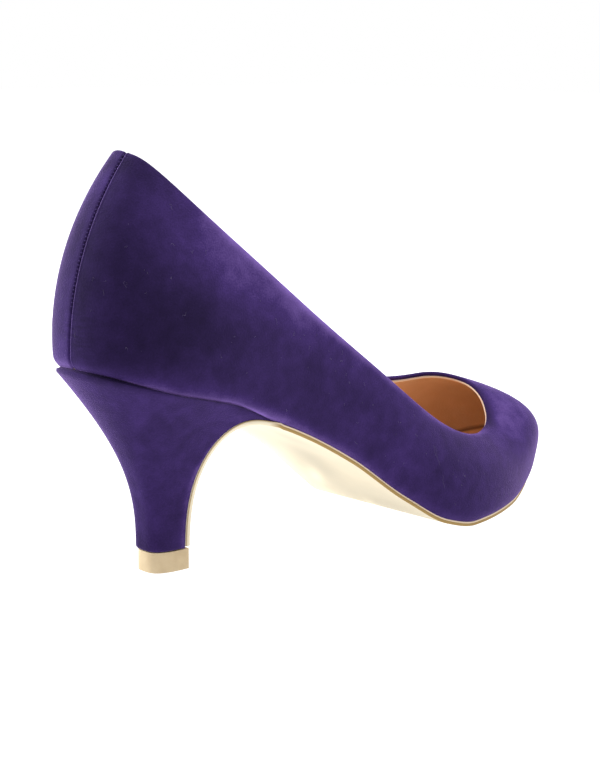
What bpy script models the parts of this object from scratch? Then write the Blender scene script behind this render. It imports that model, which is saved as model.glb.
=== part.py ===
"""Women's court pump in suede, right shoe, standing empty on its heel and forepart.

+X runs to the toe, +Y to the inner side of the foot and +Z up; the floor is Z = 0.
Every piece follows one feather line, the edge where the upper meets the sole and the heel seat.
"""

from collections import namedtuple

import bmesh
import bpy
import numpy as np

# Driving sizes, in metres
LENGTH = 0.215
BALL_WIDTH = 0.0685
SEAT_HEIGHT = 0.0665
COUNTER_HEIGHT = 0.1295
WALL = 0.0018
EDGE_ROLL = 0.002
ROLL_HEIGHT = 0.0038
SOLE_THICKNESS = 0.0015
SOLE_MARGIN = 0.0004
INSOLE_THICKNESS = 0.0015
INSOLE_MARGIN = 0.0017
LIFT_LENGTH = 0.0125
LIFT_WIDTH = 0.0133
LIFT_HEIGHT = 0.0068
LIFT_FRONT = 0.0462
HEEL_TIP = 0.0680
HEEL_OVERHANG = 0.0007
SEAT_MARGIN = 0.0026
FLAP_STOP = 0.0010
GAP = 0.0003
MERGE = 0.000001

# Shape of the heel: how fast it flares, where its wedge is cut blunt, and its round back
HEEL_FLARE = 2.5
WEDGE_ANGLE = np.radians(88)
LAST_SLICE = 0.96
BASE_DEPTH_POWER = 0.75
BASE_WIDTH_POWER = 0.6
BREAST_START = 0.030
BREAST_POWER = 0.45
CROWN_SLOPE = 0.28

# How finely the pieces are cut
AROUND = 84
UP = 12
UP_CROWDING = 1.3
FINE = 960
SOLE_RUNS = 40
SOLE_ACROSS = 6
SOLE_SETTLE = 0.1
FLAP_RUNS = 14
HEEL_SLICES = 13
HEEL_SIDE = 15

# Sections of the upper, drawn in millimetres on a sample last and graded to the sizes above.
# along and across place a section on the feather line, and top_* place it on the collar.
# A section leaves its foot and its top at a lean in degrees, outwards from upright, over a reach.
Section = namedtuple(
    "Section",
    "name along across top_along top_across top_up foot_lean foot_reach top_lean top_reach",
)
SECTIONS = (
    Section("back", 8.0, 0.0, 27.5, 0.0, 129.5, 2, 23, 39, 25),
    Section("outer_back", 12.5, -14.5, 30.0, -9.0, 126.0, 4, 21, 33, 24),
    Section("outer_heel", 27.0, -22.5, 41.5, -18.0, 113.0, 7, 20, 16, 20),
    Section("outer_seat", 50.0, -24.5, 61.0, -23.5, 95.5, 10, 16, 10, 16),
    Section("outer_waist", 82.0, -24.5, 87.0, -26.5, 74.5, 9, 14, 8, 14),
    Section("outer_arch", 112.0, -27.0, 112.5, -28.0, 55.5, 10, 14, 14, 14),
    Section("outer_ball", 141.0, -33.5, 136.5, -28.0, 38.5, 8, 16, 30, 12),
    Section("outer_joint", 167.5, -30.0, 157.5, -23.5, 29.5, 5, 14, 50, 14),
    Section("outer_vamp", 194.0, -18.5, 174.5, -16.5, 27.5, 4, 12, 60, 18),
    Section("outer_toe", 214.5, -5.5, 186.0, -8.0, 32.5, 9, 14, 67, 26),
    Section("toe", 223.0, 6.0, 188.5, 1.5, 40.0, 9, 14, 76, 29),
    Section("inner_toe", 220.0, 15.5, 185.0, 10.5, 42.5, 6, 16, 76, 28),
    Section("inner_vamp", 205.5, 28.0, 174.5, 18.0, 42.5, 5, 15, 68, 22),
    Section("inner_joint", 180.5, 35.0, 160.5, 25.0, 42.5, 6, 17, 50, 16),
    Section("inner_ball", 156.0, 33.5, 140.0, 27.5, 48.0, 8, 18, 30, 14),
    Section("inner_arch", 123.0, 22.0, 114.0, 27.0, 60.0, 12, 18, 8, 14),
    Section("inner_waist", 86.0, 18.5, 87.0, 25.5, 77.0, 12, 16, 4, 14),
    Section("inner_seat", 52.5, 22.0, 60.5, 23.5, 97.0, 10, 16, 10, 16),
    Section("inner_heel", 28.0, 21.5, 40.5, 17.5, 113.0, 8, 20, 17, 21),
    Section("inner_back", 13.0, 13.5, 29.5, 9.0, 128.0, 6, 22, 34, 25),
)

# Side profile of the feather line on the sample last, in millimetres, from the seat to the toe spring
Level = namedtuple("Level", "along up")
PROFILE = (
    Level(8.0, 66.5),
    Level(25.0, 61.0),
    Level(48.0, 55.0),
    Level(62.0, 49.0),
    Level(75.0, 43.5),
    Level(100.0, 30.0),
    Level(122.0, 14.0),
    Level(138.0, 4.7),
    Level(152.0, 1.8),
    Level(182.0, 1.8),
    Level(205.0, 4.7),
    Level(228.0, 11.0),
)

# Linear colour and roughness of each finish
Finish = namedtuple("Finish", "name red green blue roughness")
PURPLE_SUEDE = Finish("purple_suede", 0.062, 0.040, 0.150, 0.95)
TAN_LINING = Finish("tan_lining", 0.300, 0.120, 0.045, 0.60)
CREAM_SOLE = Finish("cream_sole", 0.760, 0.640, 0.420, 0.55)
BEIGE_RUBBER = Finish("beige_rubber", 0.620, 0.480, 0.300, 0.60)


# The shoe's own shape functions

def grades():
    """Metres per sample millimetre along, across and up the shoe, and up its side profile."""
    along = np.ptp([section.along for section in SECTIONS])
    across = np.ptp([section.across for section in SECTIONS])
    up = max(section.top_up for section in SECTIONS)
    return LENGTH / along, BALL_WIDTH / across, COUNTER_HEIGHT / up, SEAT_HEIGHT / PROFILE[0].up


def graded_sections():
    """The sample sections in metres and radians."""
    along, across, up, _ = grades()
    turn = np.radians(1)
    columns = [along, across, along, across, up, turn, up, turn, up]
    return np.array([section[1:] for section in SECTIONS], float) * columns


def bottom_height(along):
    """Height of the feather line at a place along the shoe: monotone cubic steps through PROFILE."""
    grade_along, _, _, grade_up = grades()
    x, y = (np.array(PROFILE, float) * [grade_along, grade_up]).T
    steps = np.diff(y) / np.diff(x)
    product = steps[:-1] * steps[1:]
    total = np.where(product > 0, steps[:-1] + steps[1:], 1)
    slopes = np.concatenate([steps[:1], np.where(product > 0, 2 * product / total, 0), steps[-1:]])
    i = np.clip(np.searchsorted(x, along) - 1, 0, len(x) - 2)
    span = x[i + 1] - x[i]
    s = (along - x[i]) / span
    start = (2 * s**3 - 3 * s**2 + 1) * y[i] + (s**3 - 2 * s**2 + s) * span * slopes[i]
    end = (3 * s**2 - 2 * s**3) * y[i + 1] + (s**3 - s**2) * span * slopes[i + 1]
    return start + end


def closed_spline(rows, knots, period, at):
    """Smooth closed curve through the rows, read at the given distances round it."""
    count = len(rows)
    spans = np.diff(np.append(knots, period))
    matrix = np.zeros((count, count))
    bends = np.zeros(rows.shape)
    for i in range(count):
        before, after, following = spans[i - 1], spans[i], (i + 1) % count
        matrix[i, [i - 1, i, following]] = before, 2 * (before + after), after
        bends[i] = 6 * ((rows[following] - rows[i]) / after - (rows[i] - rows[i - 1]) / before)
    bends = np.linalg.solve(matrix, bends)
    at = np.mod(at, period)
    i = np.searchsorted(knots, at, side="right") - 1
    j = (i + 1) % count
    span = spans[i][:, None]
    a = (at - knots[i])[:, None]
    b = span - a
    cubic = (bends[i] * b**3 + bends[j] * a**3) / (6 * span)
    return cubic + (rows[i] / span - bends[i] * span / 6) * b + (rows[j] / span - bends[j] * span / 6) * a


def ring(stations):
    """Section values and outward plan normals, at stations 0 to 1 from the back by the outer side."""
    rows = graded_sections()
    outline = rows[:, :2]
    chords = np.linalg.norm(np.roll(outline, -1, axis=0) - outline, axis=1)
    knots = np.concatenate([[0], np.cumsum(chords)[:-1]])
    period = chords.sum()
    at = np.asarray(stations) * period
    nudge = period / FINE
    ahead = closed_spline(outline, knots, period, at + nudge)
    travel = ahead - closed_spline(outline, knots, period, at - nudge)
    travel /= np.linalg.norm(travel, axis=1)[:, None]
    normals = np.column_stack([travel[:, 1], -travel[:, 0]])
    return closed_spline(rows, knots, period, at), normals


def upper_wall(around, up):
    """Outer face of the upper: rows of points round the feather line, each rising to the collar."""
    values, normals = ring(np.arange(around) / around)
    along, across, top_along, top_across, top_up = values[:, :5].T
    foot_lean, foot_reach, top_lean, top_reach = values[:, 5:, None].transpose(1, 0, 2)
    out = np.column_stack([normals, np.zeros(around)])
    upright = np.array([0.0, 0.0, 1.0])
    foot = np.column_stack([along, across, bottom_height(along)]) + EDGE_ROLL * out
    top = np.column_stack([top_along, top_across, top_up])
    foot_handle = foot + foot_reach * (np.sin(foot_lean) * out + np.cos(foot_lean) * upright)
    top_handle = top + top_reach * (np.sin(top_lean) * out - np.cos(top_lean) * upright)
    rise = (np.linspace(0, 1, up + 1) ** UP_CROWDING)[:, None]
    fall = 1 - rise
    shares = (fall**3, 3 * rise * fall**2, 3 * rise**2 * fall, rise**3)
    corners = (foot, foot_handle, top_handle, top)
    wall = sum(share * corner[:, None, :] for share, corner in zip(shares, corners))
    steps = np.linalg.norm(np.diff(wall, axis=1), axis=2)
    climbed = np.column_stack([np.zeros(around), np.cumsum(steps, axis=1)])
    left = np.clip(1 - climbed / ROLL_HEIGHT, 0, None)
    inset = EDGE_ROLL * (1 - np.sqrt(1 - left**2))
    return wall - inset[..., None] * out[:, None, :]


def plan_sides(margin):
    """Outer and inner side of the feather line in plan, moved out by a margin, each from back to toe."""
    values, normals = ring(np.arange(FINE) / FINE)
    plan = values[:, :2] + margin * normals
    plan = np.roll(plan, -plan[:, 0].argmin(), axis=0)
    toe = plan[:, 0].argmax()
    inner = np.vstack([plan[toe:], plan[:1]])
    return plan[: toe + 1], inner[::-1]


def across_at(side, along):
    """Where a side of the plan lies across the shoe, at places along it."""
    return np.interp(along, side[:, 0], side[:, 1])


def heel_front():
    """Place along the shoe of the heel's front face at its foot, behind the sole's flap."""
    return LIFT_FRONT - SOLE_THICKNESS - GAP


def breast_shares(angle):
    """Shares of its depth and height that the heel's front has reached: a full quarter round."""
    return 1 - np.cos(angle) ** BREAST_POWER, np.sin(angle)


def crown(along):
    """Height to which the heel's front is drawn: a straight rise from the tip back to the foot."""
    return bottom_height(HEEL_TIP) + CROWN_SLOPE * (HEEL_TIP - along)


def breast(angle):
    """The heel's front from its foot (angle 0) to the waist (a quarter turn), as places along and up."""
    depth, height = breast_shares(angle)
    along = heel_front() + (HEEL_TIP - heel_front()) * depth
    return along, LIFT_HEIGHT + (crown(along) - GAP - LIFT_HEIGHT) * height


def breast_blend(along):
    """Share by which the heel follows its front face, none at the back and all at the tip."""
    return np.clip((along - BREAST_START) / (HEEL_TIP - BREAST_START), 0, 1) ** 2


def heel_base(front, length, width):
    """Foot of the heel or lift in plan: flat front and round back, from outer to inner corner."""
    turn = np.linspace(-np.pi / 2, np.pi / 2, 2 * HEEL_SIDE + 1)
    along = front - length * np.abs(np.cos(turn)) ** BASE_DEPTH_POWER
    across = width / 2 * np.sign(turn) * np.abs(np.sin(turn)) ** BASE_WIDTH_POWER
    return np.column_stack([along, across])


def heel_seat():
    """The feather line from the outer heel tip, round the back, to the inner heel tip."""
    stations = np.arange(FINE) / FINE
    along = ring(stations)[0][:, 0]
    behind = stations[along <= HEEL_TIP]
    first = behind[behind < 0.5].max()
    last = behind[behind > 0.5].min() - 1
    values, normals = ring(np.linspace(first, last, 2 * HEEL_SIDE + 1))
    margin = SEAT_MARGIN * (1 - breast_blend(values[:, 0]))
    return values[:, :2] + margin[:, None] * normals


def heel_loops():
    """Outlines of the heel from its foot to its seat, which meets the last slice in a blunt wedge."""
    length = LIFT_LENGTH + HEEL_OVERHANG - SOLE_THICKNESS - GAP
    base = heel_base(heel_front(), length, LIFT_WIDTH + HEEL_OVERHANG)
    seat = heel_seat()
    forward = breast_blend(seat[:, 0])
    shares = np.linspace(0, 1, HEEL_SLICES + 1)
    front_depths, front_heights = breast_shares(WEDGE_ANGLE * shares)
    loops = []
    for back_height, front_depth, front_height in zip(LAST_SLICE * shares, front_depths, front_heights):
        height = back_height + (front_height - back_height) * forward
        flare = height**HEEL_FLARE
        depth = flare + (front_depth - flare) * forward
        along = base[:, 0] + (seat[:, 0] - base[:, 0]) * depth
        across = base[:, 1] + (seat[:, 1] - base[:, 1]) * flare
        level = bottom_height(along)
        roof = level + (crown(along) - level) * forward
        up = LIFT_HEIGHT + (roof - GAP - LIFT_HEIGHT) * height
        loops.append(np.column_stack([along, across, up]))
    seat_depth = 1 + (front_depths[-1] - 1) * forward
    seat_along = base[:, 0] + (seat[:, 0] - base[:, 0]) * seat_depth
    loops.append(np.column_stack([seat_along, seat[:, 1], bottom_height(seat_along) - GAP]))
    return loops


def rows_across(along, left, right, up):
    """Level rows of points from the left to the right edge, at each place along the shoe."""
    share = np.linspace(0, 1, SOLE_ACROSS + 1)
    across = left[:, None] + (right - left)[:, None] * share
    along, across, up = np.broadcast_arrays(along[:, None], across, up[:, None])
    return np.stack([along, across, up], axis=2)


def sole_top():
    """Top face of the sole: rows across it, from the end of the flap up the breast and on to the toe."""
    outer, inner = plan_sides(SOLE_MARGIN)
    seat = heel_seat()
    first = FLAP_STOP / (SEAT_HEIGHT - LIFT_HEIGHT)
    angles = np.linspace(first, np.pi / 2, FLAP_RUNS + 1)
    along, up = breast(angles)
    slope = np.gradient(np.column_stack([along, up]), angles, axis=0)
    slope /= np.linalg.norm(slope, axis=1)[:, None]
    flap_along = along + GAP * slope[:, 1]
    flap_up = up - GAP * slope[:, 0]
    flare = breast_shares(angles)[1] ** HEEL_FLARE
    foot = (LIFT_WIDTH + HEEL_OVERHANG) / 2
    flap_outer = -foot + (seat[0, 1] + foot) * flare - SOLE_MARGIN
    flap_inner = foot + (seat[-1, 1] - foot) * flare + SOLE_MARGIN
    run = np.sin(np.linspace(0, np.pi / 2, SOLE_RUNS + 1))[1:]
    sole_along = flap_along[-1] + (outer[-1, 0] - flap_along[-1]) * run
    settle = np.clip(1 - run / SOLE_SETTLE, 0, 1)
    sole_up = bottom_height(sole_along) - GAP * (1 + settle)
    along = np.concatenate([flap_along, sole_along])
    up = np.concatenate([flap_up, sole_up])
    left = np.concatenate([flap_outer, across_at(outer, sole_along)])
    right = np.concatenate([flap_inner, across_at(inner, sole_along)])
    return rows_across(along, left, right, up)


def insole_top():
    """Top face of the insole: rows across it from the seat to the toe, inside the wall of the upper."""
    outer, inner = plan_sides(-INSOLE_MARGIN)
    run = (1 - np.cos(np.linspace(0, np.pi, SOLE_RUNS + 1))) / 2
    along = outer[0, 0] + (outer[-1, 0] - outer[0, 0]) * run
    level = bottom_height(along)
    up = level + INSOLE_THICKNESS * np.hypot(1, np.gradient(level, along))
    return rows_across(along, across_at(outer, along), across_at(inner, along), up)


# Blender objects

def clear_scene():
    for item in list(bpy.data.objects):
        bpy.data.objects.remove(item, do_unlink=True)


def finish_material(finish):
    """Principled material of a finish, made once."""
    found = bpy.data.materials.get(finish.name)
    if found:
        return found
    material = bpy.data.materials.new(finish.name)
    material.use_nodes = True
    shader = material.node_tree.nodes["Principled BSDF"]
    shader.inputs["Base Color"].default_value = (finish.red, finish.green, finish.blue, 1)
    shader.inputs["Roughness"].default_value = finish.roughness
    shader.inputs["Metallic"].default_value = 0
    return material


def add_piece(name, data, finish, collection):
    """A named object for one piece, in the shoe's collection and with its finish."""
    piece = bpy.data.objects.new(name, data)
    collection.objects.link(piece)
    data.materials.append(finish_material(finish))
    return piece


def grid_mesh(name, rows, wrap=False):
    """Mesh of quads over rows of points, joined round when wrap is set, with collapsed ends merged."""
    mesh_maker = bmesh.new()
    grid = [[mesh_maker.verts.new(point) for point in row] for row in rows]
    for here, following in zip(grid, grid[1:] + grid[:1] if wrap else grid[1:]):
        for j in range(len(here) - 1):
            mesh_maker.faces.new((here[j], following[j], following[j + 1], here[j + 1]))
    bmesh.ops.remove_doubles(mesh_maker, verts=mesh_maker.verts, dist=MERGE)
    bmesh.ops.dissolve_degenerate(mesh_maker, edges=mesh_maker.edges, dist=MERGE)
    mesh = bpy.data.meshes.new(name)
    mesh_maker.to_mesh(mesh)
    mesh_maker.free()
    mesh.shade_smooth()
    return mesh


def thicken(piece, thickness):
    """Wall of even thickness behind an open face."""
    wall = piece.modifiers.new("wall", "SOLIDIFY")
    wall.thickness = thickness
    wall.offset = -1
    wall.use_even_offset = True


def make_upper(collection):
    mesh = grid_mesh("upper", upper_wall(AROUND, UP), wrap=True)
    piece = add_piece("upper", mesh, PURPLE_SUEDE, collection)
    thicken(piece, WALL)
    return piece


def make_outsole(collection):
    """Sole, waist and flap in one sheet."""
    piece = add_piece("outsole", grid_mesh("outsole", sole_top()), CREAM_SOLE, collection)
    thicken(piece, SOLE_THICKNESS)
    return piece


def make_insole(collection):
    piece = add_piece("insole", grid_mesh("insole", insole_top()), TAN_LINING, collection)
    thicken(piece, INSOLE_THICKNESS)
    return piece


def make_heel(collection):
    """Loft of the heel's outlines, closed across its front, foot and seat."""
    mesh_maker = bmesh.new()
    loops = [[mesh_maker.verts.new(point) for point in loop] for loop in heel_loops()]
    for low, high in zip(loops, loops[1:]):
        for j in range(len(low)):
            mesh_maker.faces.new((low[j], high[j], high[j - 1], low[j - 1]))
    mesh_maker.faces.new(loops[0])
    seat = loops[-1]
    for j in range(HEEL_SIDE):
        corners = (seat[j], seat[j + 1], seat[-2 - j], seat[-1 - j])
        mesh_maker.faces.new(tuple(dict.fromkeys(corners)))
    bmesh.ops.recalc_face_normals(mesh_maker, faces=mesh_maker.faces)
    mesh = bpy.data.meshes.new("heel")
    mesh_maker.to_mesh(mesh)
    mesh_maker.free()
    mesh.shade_smooth()
    return add_piece("heel", mesh, PURPLE_SUEDE, collection)


def make_top_lift(collection):
    """Flat D-shaped block under the heel, an outline filled and extruded up from the floor."""
    outline = heel_base(LIFT_FRONT, LIFT_LENGTH, LIFT_WIDTH)
    curve = bpy.data.curves.new("top_lift", "CURVE")
    curve.dimensions = "2D"
    curve.fill_mode = "BOTH"
    curve.extrude = (LIFT_HEIGHT - GAP) / 2
    spline = curve.splines.new("POLY")
    spline.points.add(len(outline) - 1)
    for point, (along, across) in zip(spline.points, outline):
        point.co = (along, across, 0, 1)
    spline.use_cyclic_u = True
    piece = add_piece("top_lift", curve, BEIGE_RUBBER, collection)
    piece.location.z = curve.extrude
    return piece


def main():
    clear_scene()
    collection = bpy.data.collections.new("pump_shoe")
    bpy.context.scene.collection.children.link(collection)
    makers = (make_upper, make_insole, make_outsole, make_heel, make_top_lift)
    pieces = [make(collection) for make in makers]
    bpy.context.view_layer.update()
    depsgraph = bpy.context.evaluated_depsgraph_get()
    points = []
    for piece in pieces:
        solid = piece.evaluated_get(depsgraph)
        points += [solid.matrix_world @ vertex.co for vertex in solid.to_mesh().vertices]
    centre = (np.min(points, axis=0) + np.max(points, axis=0)) / 2
    shoe = bpy.data.objects.new("pump_shoe", None)
    shoe.location = (-centre[0], -centre[1], 0)
    collection.objects.link(shoe)
    for piece in pieces:
        piece.parent = shoe


main()
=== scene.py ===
"""Looks of a purple suede court pump, built round its solids.

The shoe stands with +X to the toe, +Y to the inner side of the foot and +Z up, in metres.
Each piece has one operator, and the sidebar panel lists them in the order in which they are made.
"""

from collections import namedtuple

import bmesh
import bpy
import numpy as np
from bpy.props import FloatProperty, FloatVectorProperty, PointerProperty
from mathutils import Matrix, Vector


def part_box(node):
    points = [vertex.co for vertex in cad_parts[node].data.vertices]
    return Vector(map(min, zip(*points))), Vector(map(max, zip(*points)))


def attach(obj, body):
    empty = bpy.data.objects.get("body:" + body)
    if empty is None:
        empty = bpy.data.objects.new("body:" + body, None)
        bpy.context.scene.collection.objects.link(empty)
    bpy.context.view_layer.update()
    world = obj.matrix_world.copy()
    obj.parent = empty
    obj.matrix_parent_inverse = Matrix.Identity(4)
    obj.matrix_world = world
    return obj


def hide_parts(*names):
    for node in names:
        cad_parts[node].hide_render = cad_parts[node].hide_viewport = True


bl_info = {
    "name": "Suede pump shoe",
    "version": (1, 0, 0),
    "blender": (4, 5, 0),
    "location": "View3D > Sidebar > Pump shoe",
    "description": "Dresses the solids of a court pump in suede, lining leather, sole and lift",
    "category": "Object",
}

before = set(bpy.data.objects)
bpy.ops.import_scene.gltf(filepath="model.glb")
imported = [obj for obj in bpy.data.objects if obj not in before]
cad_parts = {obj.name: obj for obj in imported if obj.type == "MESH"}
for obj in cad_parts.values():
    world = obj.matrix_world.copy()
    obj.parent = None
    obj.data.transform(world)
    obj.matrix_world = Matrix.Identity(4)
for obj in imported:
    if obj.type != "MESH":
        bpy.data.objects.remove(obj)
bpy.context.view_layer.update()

# Driving sizes of the shoe, in metres
LENGTH = 0.215
BALL_WIDTH = 0.0685
SEAT_HEIGHT = 0.0665
COUNTER_HEIGHT = 0.1295
EDGE_ROLL = 0.002
ROLL_HEIGHT = 0.0038
SOLE_THICKNESS = 0.0015
SOLE_MARGIN = 0.0004
INSOLE_THICKNESS = 0.0015
LIFT_LENGTH = 0.0125
LIFT_WIDTH = 0.0133
LIFT_HEIGHT = 0.0068
LIFT_FRONT = 0.0462
HEEL_TIP = 0.0680
HEEL_OVERHANG = 0.0007
SEAT_MARGIN = 0.0026
FLAP_STOP = 0.0010
INSOLE_BULGE = 0.0002
SOCK_SHARE = 0.8

# Clearances in metres: between pieces, between the sole's flap and the heel, under the upper's foot,
# between points that are merged, and between the end of a sheet and the tip of its plan
GAP = 0.0003
FLAP_GAP = 0.2 * GAP
FOOT_DROP = 1.3 * GAP
MERGE = 0.000001
TIP_CUT = 0.00001

# Shape of the heel: how fast it flares, where its wedge is cut blunt, and its round back
HEEL_FLARE = 2.5
WEDGE_ANGLE = np.radians(89.7)
LAST_SLICE = 0.96
BASE_DEPTH_POWER = 0.75
BASE_WIDTH_POWER = 0.6
BREAST_START = 0.030
BREAST_POWER = 0.45
CROWN_SLOPE = 0.28

# How finely the pieces are cut, how rows crowd at the seam, and over what share the sole settles
FINE = 1440
WALL_STATIONS = 720
WALL_ROWS = 60
LINING_STATIONS = 360
SEAM_CROWDING = 0.88
SOLE_RUNS = 150
SOLE_ACROSS = 36
SOLE_SETTLE = 0.1
FLAP_RUNS = 60
HEEL_SLICES = 60
HEEL_SIDE = 60
CURVE_STEPS = 240
FOOT_ROWS = 10
COLLAR_ROWS = 6
FOLD_ROWS = 10
LINING_FOOT_ROWS = 6
HIDDEN_STEP = 6
SOLE_RIM_STEPS = 8
INSOLE_RIM_STEPS = 4

# Sections of the upper, drawn in millimetres on a sample last and graded to the sizes above.
# along and across place a section on the feather line, and top_* place it on the collar.
# A section leaves its foot and its top at a lean in degrees, outwards from upright, over a reach.
Section = namedtuple(
    "Section",
    "name along across top_along top_across top_up foot_lean foot_reach top_lean top_reach",
)
SECTIONS = (
    Section("back", 8.0, 0.0, 27.5, 0.0, 129.5, 2, 23, 39, 25),
    Section("outer_back", 12.5, -14.5, 30.0, -9.0, 126.0, 4, 21, 33, 24),
    Section("outer_heel", 27.0, -22.5, 41.5, -18.0, 113.0, 7, 20, 16, 20),
    Section("outer_seat", 50.0, -24.5, 61.0, -23.5, 95.5, 10, 16, 10, 16),
    Section("outer_waist", 82.0, -24.5, 87.0, -26.5, 74.5, 9, 14, 8, 14),
    Section("outer_arch", 112.0, -27.0, 112.5, -28.0, 55.5, 10, 14, 14, 14),
    Section("outer_ball", 141.0, -33.5, 136.5, -28.0, 38.5, 8, 16, 30, 12),
    Section("outer_joint", 167.5, -30.0, 157.5, -23.5, 29.5, 5, 14, 50, 14),
    Section("outer_vamp", 194.0, -18.5, 174.5, -16.5, 27.5, 4, 12, 60, 18),
    Section("outer_toe", 214.5, -5.5, 186.0, -8.0, 32.5, 9, 14, 67, 26),
    Section("toe", 223.0, 6.0, 188.5, 1.5, 40.0, 9, 14, 76, 29),
    Section("inner_toe", 220.0, 15.5, 185.0, 10.5, 42.5, 6, 16, 76, 28),
    Section("inner_vamp", 205.5, 28.0, 174.5, 18.0, 42.5, 5, 15, 68, 22),
    Section("inner_joint", 180.5, 35.0, 160.5, 25.0, 42.5, 6, 17, 50, 16),
    Section("inner_ball", 156.0, 33.5, 140.0, 27.5, 48.0, 8, 18, 30, 14),
    Section("inner_arch", 123.0, 22.0, 114.0, 27.0, 60.0, 12, 18, 8, 14),
    Section("inner_waist", 86.0, 18.5, 87.0, 25.5, 77.0, 12, 16, 4, 14),
    Section("inner_seat", 52.5, 22.0, 60.5, 23.5, 97.0, 10, 16, 10, 16),
    Section("inner_heel", 28.0, 21.5, 40.5, 17.5, 113.0, 8, 20, 17, 21),
    Section("inner_back", 13.0, 13.5, 29.5, 9.0, 128.0, 6, 22, 34, 25),
)

# Side profile of the feather line on the sample last, in millimetres, from the seat to the toe spring
Level = namedtuple("Level", "along up")
PROFILE = (
    Level(8.0, 66.5),
    Level(25.0, 61.0),
    Level(48.0, 55.0),
    Level(62.0, 49.0),
    Level(75.0, 43.5),
    Level(100.0, 30.0),
    Level(122.0, 14.0),
    Level(138.0, 4.7),
    Level(152.0, 1.8),
    Level(182.0, 1.8),
    Level(205.0, 4.7),
    Level(228.0, 11.0),
)

# Strokes of lighter or darker tone: centre and half sizes in millimetres on the last,
# in side view for the suede and in plan for the sole, turned by a tilt in degrees.
# A tone counts in doublings of the colour, here and below.
Stroke = namedtuple("Stroke", "along level length height tilt tone")
# Strokes on the upper: partly the nap's own tone, partly painted light and shade
UPPER_STROKES = (
    Stroke(26, 88, 30, 15, -40, -0.75),
    Stroke(23, 76, 16, 12, 0, -0.50),
    Stroke(9, 78, 7, 12, 0, -0.45),
    Stroke(28, 124, 7, 5, -40, -0.65),
    Stroke(38, 119, 7, 5, -40, -0.30),
    Stroke(17, 110, 14, 5, 60, -0.35),
    Stroke(80, 60, 14, 9, -35, -0.35),
    Stroke(42, 92, 18, 8, -42, 0.45),
    Stroke(31, 88, 7, 6, -40, 0.25),
    Stroke(74, 76, 9, 7, -40, 0.30),
    Stroke(95, 52, 8, 6, -35, -0.25),
    Stroke(114, 34, 14, 8, -35, 0.40),
    Stroke(142, 30, 10, 6, 0, -0.50),
    Stroke(192, 30, 16, 9, 0, 0.95),
    Stroke(204, 30, 6, 5, 0, 0.20),
    Stroke(186, 10, 10, 5, 0, -0.40),
)
# Strokes on the heel: partly the nap's own tone, partly painted light and shade
HEEL_STROKES = (
    Stroke(36, 30, 60, 60, 0, 0.08),
    Stroke(42, 28, 14, 6, 0, 0.15),
    Stroke(24, 52, 14, 8, -30, 0.15),
    Stroke(54, 48, 12, 6, -30, 0.55),
    Stroke(16, 60, 6, 8, 0, 0.20),
)
# Strokes on the sole: painted shade towards the ball where it nears the floor, painted light towards the back
# and the far edge, two painted glossy reflections, and a few clouds of tone
SOLE_STROKES = (
    Stroke(72, 0, 14, 40, 0, 0.25),
    Stroke(140, -10, 28, 30, 0, -0.45),
    Stroke(105, 22, 45, 9, 0, 0.50),
    Stroke(141, 0, 6, 24, 0, 0.80),
    Stroke(106, -2, 11, 8, 20, -0.35),
    Stroke(85, -12, 8, 6, 0, -0.25),
    Stroke(118, 9, 9, 2.5, 40, 0.50),
    Stroke(138, 0, 9, 2.5, 30, 0.50),
)

# What changes along the shoe: places in metres along the last, and the value at each
Course = namedtuple("Course", "places values")
HEEL_BACK = Course((0.013, 0.026), (1, 0))
FOOT_TUCK = Course((0.011, 0.026, 0.040, HEEL_TIP), (1, -0.8, -0.8, 0))
# Painted light: a lighter band below the side collar, and a painted highlight along the collar's rim
SIDE_COLLAR_LIGHT = Course((0.026, 0.045, 0.075, 0.100, 0.128, 0.150), (0, 1.1, 1.1, 0.385, 0.275, 0))
COLLAR_RIM_HIGHLIGHT = Course((0.036, 0.050, 0.070, 0.085, 0.125, 0.168, 0.178), (0, 1.2, 1.3, 1.8, 1.0, 0.8, 0))
# Lower edge lighter: partly wear from rubbing, partly painted light from the floor
LOWER_EDGE_RUB_AND_LIGHT = Course((0.020, 0.045, 0.065, 0.090, 0.130), (1.2, 1.6, 1.8, 1.1, 0.5))
LOWER_WIDTH = Course((0.050, 0.080), (1, 0.75))
# Painted highlight on the upper's lip just above the heel joint
HEEL_LIP_HIGHLIGHT = Course((0.008, 0.014, 0.026, 0.040, 0.055, 0.066), (0, 1.6, 1.8, 2.0, 2.0, 0))
# Painted light and shade of the lining, darker inside the toe
LINING_LIGHT_AND_SHADE = Course((0.100, 0.186, 0.214), (0.20, 0.32, -0.10))
SEAM_END = 2 * HEEL_TIP / 3
WRINKLE_END = HEEL_TIP / 2
TRIM_START = HEEL_TIP - 0.003

# What changes round the upper: shares of the way round, from the back by the outer side
THROAT_CREST = Course((0.30, 0.37, 0.46, 0.495), (0, 1, 1, 0))
# Where the fold round the throat is painted in shade
THROAT_FOLD_SHADE = Course((0.40, 0.44, 0.47, 0.50), (0, 1, 1, 0))
LINING_DROP = Course((0.24, 0.34, 0.49, 0.53), (1, 0, 0, 1))
PROUD_EDGE = Course((0.41, 0.44, 0.49, 0.52), (0, 1, 1, 0))
# Where the painted shadow of the insole's join runs in the toe's lining
TOE_JOIN_RUN = Course((0.50, 0.52, 0.56, 0.60), (0, 1, 1, 0))

# What changes outwards from the seam, on the heel's rim, and up the seam, in metres
RIM_ROUNDING = Course((0.004, 0.014), (1, 0.5))
# Share of the painted shadow under the heel's rim, by distance out from the seam
RIM_SHADOW = Course((0.003, 0.008, 0.015, 0.020), (0.6, 1, 1, 0.4))
# Strength of the painted light strip beside the seam, up the seam
SEAM_STRIP_LIGHT = Course((0.020, 0.045), (0.9, 0.1))

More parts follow.
